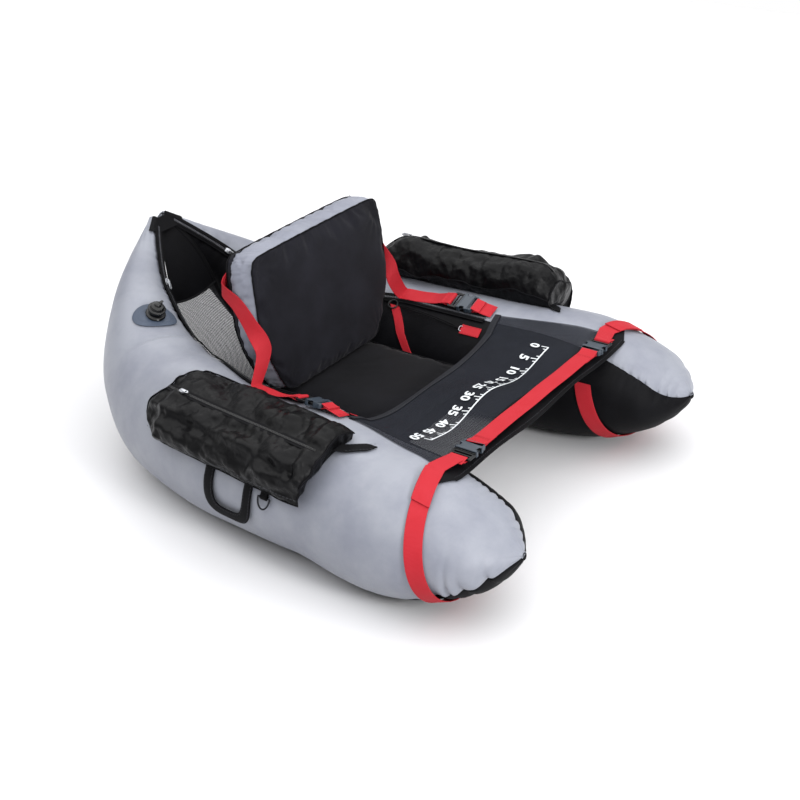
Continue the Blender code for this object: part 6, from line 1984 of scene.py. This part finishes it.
@dataclass
class FrontHarness:
    """Front strap between the buckles, and the wrap strap round each tube."""

    sizes: BuckleSizes = field(default_factory=BuckleSizes)
    lift: float = 0.0012
    raised: float = 0.0042
    fall_from: float = 84
    fall: float = 20
    doubled: tuple = (7, 23)
    eased: tuple = (2, 14)
    steps: int = 150

    def build(self) -> None:
        """Make strap, buckles and wraps."""
        s = self.sizes
        low, high = (np.array(corner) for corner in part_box("front_strap"))
        half, y, z = high[0], (low[1] + high[1]) / 2, (low[2] + high[2]) / 2
        shell = Shell()
        xs = spaced(-half, half, 60)
        ripple = 0.0006 * np.sin(xs * 40) * ramp(half - np.abs(xs), 0, 0.04)
        shell.sweep(np.stack([xs, 0 * xs + y, z + ripple], axis=1), [0, 1, 0], s.section())
        buckles = {}
        for side in Side:
            seat = Matrix.Translation((side.value * (half + GAP + s.length), y, z))
            if side is Side.RIGHT:
                seat = seat @ Matrix.Rotation(math.pi, 4, "Z")
            buckles[side] = Buckle(f"{side.label}_front_buckle", seat, f"{side.label}_front_plug")
            buckles[side].socket()
            buckles[side].plug()
            buckles[side].loop(shell, False, 0.05)
            for k in range(3):
                line = seat @ Matrix.Translation((-s.length - 0.024 - 0.003 * k, 0, 0.0011))
                row = moved(line, [(0, t, 0) for t in spaced(-TACK_REACH, TACK_REACH, 8)])
                sew(shell, row, UPWARD, 1, *TACK)
        item = shell.build("front_webbing", [RED_WEBBING, RED_THREAD])
        place_piece(item, "hull", "red_webbing", "front_strap")
        for side in Side:
            self.wrap(TUBES[side], buckles[side])

    def wrap(self, tube: AirTube, buckle: Buckle) -> None:
        """Wrap strap from a plug over the tube, down its outer side and under to the inner wall."""
        s = self.sizes
        label = tube.side.label
        share = spaced(0, 1, self.steps)
        (top, low), (first, last) = tube.wrap_shares, tube.wrap_angles
        angle = first + (last - first) * share
        place = top + (low - top) * np.sin(np.pi * share)
        lift = self.lift + self.raised * np.clip(1 - (self.fall_from - angle) / self.fall, 0, 1)
        spots, _, normals = tube.lie(place, angle, lift + s.web_thickness / 2, taut=True)
        start = np.array(buckle.seat @ Vector((s.plug_base - s.plug_bar / 2, 0, 0.003)))
        lead = np.array([start, *(start + (spots[0] - start) * t for t in (0.3, 0.6, 0.85))])
        lead[1:, 2] += [0.0008, 0.0006, 0.0003]
        centres = np.concatenate([lead, spots])
        across = np.concatenate([np.broadcast_to([0.0, -1.0, 0.0], lead.shape), tube.ahead(place, angle)])
        normals = np.concatenate([np.broadcast_to(UPWARD, lead.shape), normals])
        near, far = self.eased
        for rows in (across, normals):
            rows[near:far] = unit(np.array([rows[max(k - 3, 0):k + 4].mean(axis=0)
                                            for k in range(near, far)]))
        shell = Shell()
        shell.sweep(centres, across, s.section(), 0, normals)
        doubled = slice(*self.doubled)
        aside, up = across[doubled], normals[doubled]
        over = centres[doubled] + up * (s.web_thickness + 0.0014)
        shell.sweep(over, aside, flat_section(s.web_width + 0.0025, s.web_thickness + 0.0008), 0, up)
        for k in (-0.014, 0.014):
            sew(shell, over + aside * k + up * 0.001, up, 1)
        buckle.loop(shell, True, 0.012)
        item = shell.build(f"{label}_wrap_webbing", [RED_WEBBING, RED_THREAD])
        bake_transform(item)
        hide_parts(f"{label}_wrap_strap")
        log.info("made %s", item.name)


@dataclass
class BackHarness:
    """Strap from the tube's shoulder, through a buckle, up and round the backrest's rear edge."""

    tube: AirTube
    back: Backrest
    sizes: BuckleSizes = field(default_factory=BuckleSizes)
    share: float = 0.545
    angle: float = 109
    lift: float = 0.006
    anchor: float = 0.042
    end_lift: float = 0.0034
    shares: tuple = (0.485, 0.455, 0.425)
    angles: tuple = (110, 112, 113)
    strap_lift: float = 0.0049
    side_shares: tuple = ((0.40, -0.10, 0.4), (0.56, 0.25, 0.8), (0.70, 0.65, 1.0))
    rear_shares: tuple = ((0.0, 0.80, 0.0), (0.13, 0.89, 1.0))
    slant: float = 50
    border_bulge: float = 0.004
    clearance: float = 0.005
    rear_crown_share: float = 0.55
    cells: int = 120
    cut: int = 62

    def seat(self) -> Matrix:
        """The buckle's frame, its mouth to the stern."""
        spot = self.tube.skin(self.share, self.angle, self.lift + self.sizes.height / 2)
        turn = math.radians(self.angle)
        normal = np.array([self.tube.side.value * math.cos(turn), 0, math.sin(turn)])
        rearward = np.array([0.0, 1.0, 0.0])
        found = Matrix(np.stack([rearward, np.cross(normal, rearward), normal], axis=1).tolist()).to_4x4()
        found.translation = Vector(spot)
        return found

    def build(self) -> None:
        """Make the buckle, the sewn end and both lengths of the strap."""
        tube, back, s = self.tube, self.back, self.sizes
        label = tube.side.label
        seat = self.seat()
        buckle = Buckle(f"{label}_back_buckle", seat, f"{label}_back_plug")
        buckle.socket()
        buckle.plug()
        across, up = direction(seat, 0, 1, 0), direction(seat, 0, 0, 1)
        shell = Shell()
        buckle.loop(shell, False, 0.02)
        first = moved(seat, [(-s.length - 0.004, 0, 0)])[0]
        end_share = self.share + (s.length + self.anchor) / tube.speed(self.share)
        last = tube.skin(end_share, self.angle, self.end_lift)
        route = first + (last - first) * spaced(0, 1, 16)[:, None]
        shell.sweep(route, across, s.section())
        for shift in (0.30, 0.42, 0.86, 0.95):
            spot = first + (last - first) * shift + up * 0.0011
            sew(shell, spot + across * spaced(-TACK_REACH, TACK_REACH, 8)[:, None], up, 1, *TACK)
        item = shell.build(f"{label}_sewn_webbing", [RED_WEBBING, RED_THREAD])
        place_piece(item, "hull", "red_webbing", f"{label}_back_strap_end")

        place = back.frame()
        beside = back.width / 2 + self.border_bulge + self.clearance
        turn = math.radians(self.slant)
        rise = np.array([0, math.cos(turn), -math.sin(turn)])
        start = moved(seat, [(s.plug_base - s.plug_bar / 2, 0, 0.003), (s.plug_base + 0.012, 0, 0.0005)])
        centres, sides = list(start), [across, across]
        for share, angle in zip(self.shares, self.angles):
            centres.append(tube.skin(share, angle, self.strap_lift))
            sides.append(across)
        for height, depth, way in self.side_shares:
            spot = (tube.side.value * beside, back.thickness * depth, back.height * height)
            centres.append(moved(place, [spot])[0])
            sides.append(unit(across + (rise - across) * way))
        behind = back.thickness + 2 * GAP + s.web_thickness / 2 + 0.001
        for reach, height, way in self.rear_shares:
            crown = back.rear_crown * (self.rear_crown_share * way + 1 - way)
            spot = (tube.side.value * (beside - reach * back.width), behind + crown, back.height * height)
            centres.append(moved(place, [spot])[0])
            wrapped = np.array([-tube.side.value * math.cos(turn), 0, -math.sin(turn)])
            sides.append(unit(rise + (wrapped - rise) * (1 + way) / 2))
        steps = spaced(0, 1, len(centres) - 1)
        fine = spaced(0, 1, self.cells)
        centres, sides = (np.stack([Curve(steps, np.array(rows)[:, k]).at(fine) for k in range(3)], axis=1)
                          for rows in (centres, sides))
        sides = unit(sides)
        normals = unit(np.cross(np.gradient(centres, axis=0), sides))
        cut = self.cut
        for name, part, body, start, end in (
                ("lower", np.s_[:cut + 1], f"{label}_back_plug", cut // 2 - 1, 8),
                ("upper", np.s_[cut:], "backrest", cut + 2, cut + 24)):
            shell = Shell()
            shell.sweep(centres[part], sides[part], s.section(), 0, normals[part])
            if name == "lower":
                buckle.loop(shell, True, 0.02)
            else:
                tail = np.s_[-14:]
                for shift in (-0.014, 0.014):
                    row = centres[tail] + sides[tail] * shift + normals[tail] * 0.0011
                    sew(shell, row, normals[tail], 1)
            item = shell.build(f"{label}_back_webbing_{name}", [RED_WEBBING, RED_THREAD])
            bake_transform(item)
            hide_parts(f"{label}_back_strap")
            log.info("made %s", item.name)


@dataclass
class SeatHarness:
    """Seat strap, its moulded ring, the elastic cord to the apron, and the red apron tab."""

    tube: AirTube
    width: float = 0.025
    thickness: float = 0.0016
    top: tuple = (0.415, 127)
    foot: tuple = (0.475, 168)
    lift: float = 0.0012
    ring_radius: float = 0.011
    ring_wire: float = 0.002
    tab: tuple = (0.585, 133)
    tab_length: float = 0.050
    tab_width: float = 0.024
    hook: tuple = ((0.003, -0.006, 0.0022), (-0.001, -0.006, 0.0026), (-0.004, -0.003, 0.0026),
                   (-0.004, 0.003, 0.0026), (-0.001, 0.006, 0.0026), (0.003, 0.006, 0.0022))
    cord_radius: float = 0.0015
    cord_spacing: float = 0.007
    cord_rise: float = 0.004

    def build(self) -> None:
        """Make all four pieces."""
        tube = self.tube
        label = tube.side.label
        shell = Shell()
        share = spaced(0, 1, 40)
        place = self.top[0] + (self.foot[0] - self.top[0]) * share
        angle = self.top[1] + (self.foot[1] - self.top[1]) * share
        spots, _, normals = tube.lie(place, angle, self.lift + self.thickness / 2, taut=True)
        along = tube.ahead(place, angle)
        shell.sweep(spots, along, flat_section(self.width, self.thickness), 0, normals)
        for side in (-1, 1):
            sew(shell, spots + along * side * self.width * 0.42 + normals * 0.001, normals, 1)
        item = shell.build(f"{label}_seat_webbing", [RED_WEBBING, RED_THREAD])
        place_piece(item, "hull", "red_webbing", f"{label}_seat_strap")

        high = self.lift + self.thickness + self.ring_wire + GAP
        ring_seat = tube.seat_frame(*self.top, high)
        turn = np.arange(48) * math.pi / 24
        circle = self.ring_radius * np.stack([np.cos(turn), np.sin(turn), 0 * turn], axis=1)
        circle = moved(ring_seat, circle)
        shell = Shell()
        shell.sweep(circle, circle - np.array(ring_seat.translation), round_section(self.ring_wire, 12), 0,
                    direction(ring_seat, 0, 0, 1), closed=True)
        item = shell.build(f"{label}_moulded_ring", [ACETAL_BLACK])
        place_piece(item, "hull", "black_plastic", f"{label}_strap_ring")

        tab_seat = tube.seat_frame(*self.tab, self.lift + self.thickness)
        shell = Shell()
        half = self.tab_length / 2
        line = [(-half, 0, 0.0008), (-half * 0.4, 0, 0), (half * 0.4, 0, 0), (half, 0, 0)]
        route = moved(tab_seat, resampled(line, 14))
        aside, above = direction(tab_seat, 0, 1, 0), direction(tab_seat, 0, 0, 1)
        shell.sweep(route, aside, flat_section(self.tab_width, self.thickness))
        for shift in (-0.4, 0.4):
            sew(shell, route + aside * shift * self.tab_width + above * 0.001, above, 1)
        hook = [(-half + x, y, z) for x, y, z in self.hook]
        shell.sweep(moved(tab_seat, resampled(hook, 24)), above, round_section(0.0011, 8), 2)
        item = shell.build(f"{label}_red_tab", [RED_WEBBING, RED_THREAD, PLATED_ZINC])
        place_piece(item, "hull", "red_webbing", f"{label}_apron_tab")
        self.cord(ring_seat, tab_seat)

    def cord(self, ring_seat: Matrix, tab_seat: Matrix) -> None:
        """Doubled elastic cord, taut from the ring to the tab's hook."""
        label = self.tube.side.label
        reach = self.ring_radius + self.ring_wire + self.cord_radius + GAP
        first = moved(ring_seat, [(reach, 0, 0)])[0]
        last = moved(tab_seat, [(-self.tab_length / 2 - self.cord_radius - GAP, 0, 0)])[0]
        forward = unit(last - first)
        aside = unit(np.cross(forward, [0, 0, 1])) * self.cord_spacing / 2
        share = spaced(0, 1, 24)
        spread = np.minimum(1, np.minimum(share, 1 - share) * 8)[:, None]
        middle = first + (last - first) * share[:, None]
        middle[:, 2] += self.cord_rise * np.sin(np.pi * share)
        route = np.concatenate([middle + aside * spread, (middle - aside * spread)[::-1][1:-1]])
        shell = Shell()
        shell.sweep(route, [0, 0, 1], round_section(self.cord_radius, 8))
        item = shell.build(f"{label}_bungee", [BLACK_WEBBING])
        place_piece(item, "hull", "black_webbing", f"{label}_elastic_cord")


@dataclass
class CarryGear:
    """Carry handle, and the keeper with its D-ring, on one tube's outer side."""

    tube: AirTube
    shares: tuple = (0.455, 0.552)
    angles: tuple = (21, -17)
    width: float = 0.022
    thickness: float = 0.003
    lift: float = 0.0008
    belly: float = 0.006
    roundness: float = 0.5
    keeper_share: float = 0.582
    keeper_angle: float = 17.5
    keeper_size: tuple = (0.018, 0.022, 0.008)
    bore_drop: float = 0.0055
    ring_wire: float = 0.0018
    ring_size: tuple = (0.030, 0.024)

    def build(self) -> None:
        """Make handle, keeper and ring."""
        tube = self.tube
        label = tube.side.label
        middle, half = sum(self.shares) / 2, (self.shares[1] - self.shares[0]) / 2
        drop = self.angles[1] - self.angles[0]
        turn = spaced(0, math.pi, 70)
        low = np.abs(np.sin(turn)) ** self.roundness
        wide = np.sign(np.cos(turn)) * np.abs(np.cos(turn)) ** self.roundness
        rows = []
        for inset in (0, self.width):
            reach = half - inset / tube.speed(middle)
            swing = drop + float(tube.turn_for(middle, inset))
            rows.append((middle - reach * wide, self.angles[0] + swing * low))
        sheets = []
        for lift in (0.0, self.thickness):
            high = self.lift + self.belly * low + lift
            edges = [tube.point(place, angle, high) for place, angle in rows]
            steps = spaced(0, 1, 8)[None, :, None]
            bend = 0.0012 * (1 - (2 * steps - 1) ** 2) * (1 if lift else 0.4)
            sheet = edges[0][:, None] + (edges[1] - edges[0])[:, None] * steps
            sheets.append(sheet + tube.outward(sheet, middle) * bend)
        shell = Shell()
        shell.slab(*sheets)
        for column in (1, -2):
            row = sheets[1][:, column]
            out = tube.outward(row, middle)
            sew(shell, row + out * 0.0003, out, 1)
        item = shell.build(f"{label}_grab_handle", [BLACK_WEBBING, GREY_THREAD])
        place_piece(item, f"{label}_handle", "black_webbing", f"{label}_carry_handle")

        seat = tube.seat_frame(self.keeper_share, self.keeper_angle, self.keeper_size[2] / 2 + GAP)
        long, tall, thick = self.keeper_size
        way = -1 if direction(seat, 0, 1, 0)[2] > 0 else 1
        bar = way * self.bore_drop
        inner = self.ring_wire + 0.0006
        fold = [(-tall / 2 * way, -thick / 2 + 0.0014), (0, -thick / 2 + 0.0012)]
        fold += [(bar + way * (inner + 0.001) * math.sin(a), -(inner + 0.001) * math.cos(a))
                 for a in spaced(0, math.pi, 12)]
        fold += [(0, 0.0016), (-tall / 2 * way, 0.0002)]
        route = moved(seat, [(0, y, z) for y, z in resampled(fold, 50)])
        shell = Shell()
        shell.sweep(route, direction(seat, 1, 0, 0), flat_section(long, 0.0018))
        item = shell.build(f"{label}_keeper_loop", [BLACK_WEBBING])
        place_piece(item, "hull", "black_webbing", f"{label}_ring_keeper")

        wide, deep = self.ring_size
        turn = spaced(0, math.pi, 40)
        loop = [(wide / 2 * math.cos(a), bar + way * deep * math.sin(a), 0) for a in turn]
        loop += [(x, bar, 0) for x in spaced(-wide / 2, wide / 2, 12)[1:-1]]
        points = moved(seat, loop)
        up = direction(seat, 0, 0, 1)
        ahead = np.roll(points, -1, axis=0) - np.roll(points, 1, axis=0)
        shell = Shell()
        shell.sweep(points, np.cross(ahead, up), round_section(self.ring_wire, 10), 0, up, closed=True)
        item = shell.build(f"{label}_dee_ring", [BLACK_ZINC])
        place_piece(item, f"{label}_ring", "zinc", f"{label}_d_ring")


# Studio

@dataclass
class Studio:
    """Pale floor, soft lamps and the camera at the photograph's angle."""

    azimuth: float = -56.295
    elevation: float = 28.092
    distance: float = 3.15092
    target: tuple = (-0.13480, -0.17103, 0.25)
    roll: float = -0.3092
    lens: float = 67.263
    lamps: tuple = (
        ("overhead", (0.0, 0.0, 6.5), (16.0, 16.0), 1830.0),
        ("key", (-1.3, -3.9, 1.9), (0.8, 0.8), 110.0),
    )
    aim: tuple = (0, 0, 0.2)
    floor_reach: float = 4.5
    horizon: tuple = (0.08, 0.22)
    glow: float = 0.34

    def build(self) -> None:
        """Set floor, lamps, surroundings and camera."""
        shell = Shell()
        lines = spaced(-self.floor_reach, self.floor_reach, 4)
        shell.grid(np.stack(np.meshgrid(lines, lines, [-0.0005], indexing="ij"), axis=-1)[:, :, 0])
        floor = shell.build("studio_floor", [STUDIO_PAINT])
        for name, spot, size, power in self.lamps:
            data = bpy.data.lights.new(name, "AREA")
            data.shape = "RECTANGLE"
            data.size, data.size_y = size
            data.energy = power
            lamp = bpy.data.objects.new(name, data)
            bpy.context.scene.collection.objects.link(lamp)
            lamp.location = spot
            lamp.visible_camera = False
            lamp.rotation_euler = (Vector(self.aim) - Vector(spot)).to_track_quat("-Z", "Y").to_euler()
        world = bpy.data.worlds.new("studio")
        world.use_nodes = True
        tree = world.node_tree
        height = add_node(tree, "SeparateXYZ", {}, {0: add_node(tree, "TexCoord").outputs["Generated"]})
        haze = add_node(tree, "MapRange", {"From Min": self.horizon[0], "From Max": self.horizon[1],
                                           "To Min": 1.0, "To Max": self.glow}, {"Value": height.outputs[2]})
        sky = tree.nodes["Background"]
        sky.inputs["Color"].default_value = linear("FFFFFF")
        tree.links.new(haze.outputs[0], sky.inputs["Strength"])
        bpy.context.scene.world = world
        bpy.context.scene.view_settings.view_transform = "Standard"
        self.camera()

    def camera(self) -> None:
        """Place the camera."""
        data = bpy.data.cameras.new("camera")
        data.lens = self.lens
        data.sensor_width = 36
        data.sensor_fit = "HORIZONTAL"
        az, el, roll = (math.radians(v) for v in (self.azimuth, self.elevation, self.roll))
        back = Vector((math.sin(az) * math.cos(el), -math.cos(az) * math.cos(el), math.sin(el)))
        level = Vector((math.cos(az), math.sin(az), 0))
        up = back.cross(level)
        right = math.cos(roll) * level + math.sin(roll) * up
        top = -math.sin(roll) * level + math.cos(roll) * up
        place = Matrix((right, top, back)).transposed().to_4x4()
        place.translation = Vector(self.target) + self.distance * back
        item = bpy.data.objects.new("camera", data)
        bpy.context.scene.collection.objects.link(item)
        item.matrix_world = place
        bpy.context.scene.camera = item


def main() -> None:
    """Build every piece in order."""
    logging.basicConfig(level=logging.INFO, format="%(name)s %(relativeCreated)6d ms: %(message)s")
    Studio().build()
    back = Backrest()
    back.build()
    SeatPad().build()
    Apron().build()
    FrontHarness().build()
    SternPanel().build()
    for side, tube in TUBES.items():
        HullCovers(tube).build()
        MainZip(tube).build()
        Valve(tube).build()
        BackHarness(tube, back).build()
        SeatHarness(tube).build()
        CarryGear(tube).build()
        SideBag(tube, *BAGS[side]).build()


if __name__ == "__main__":
    main()
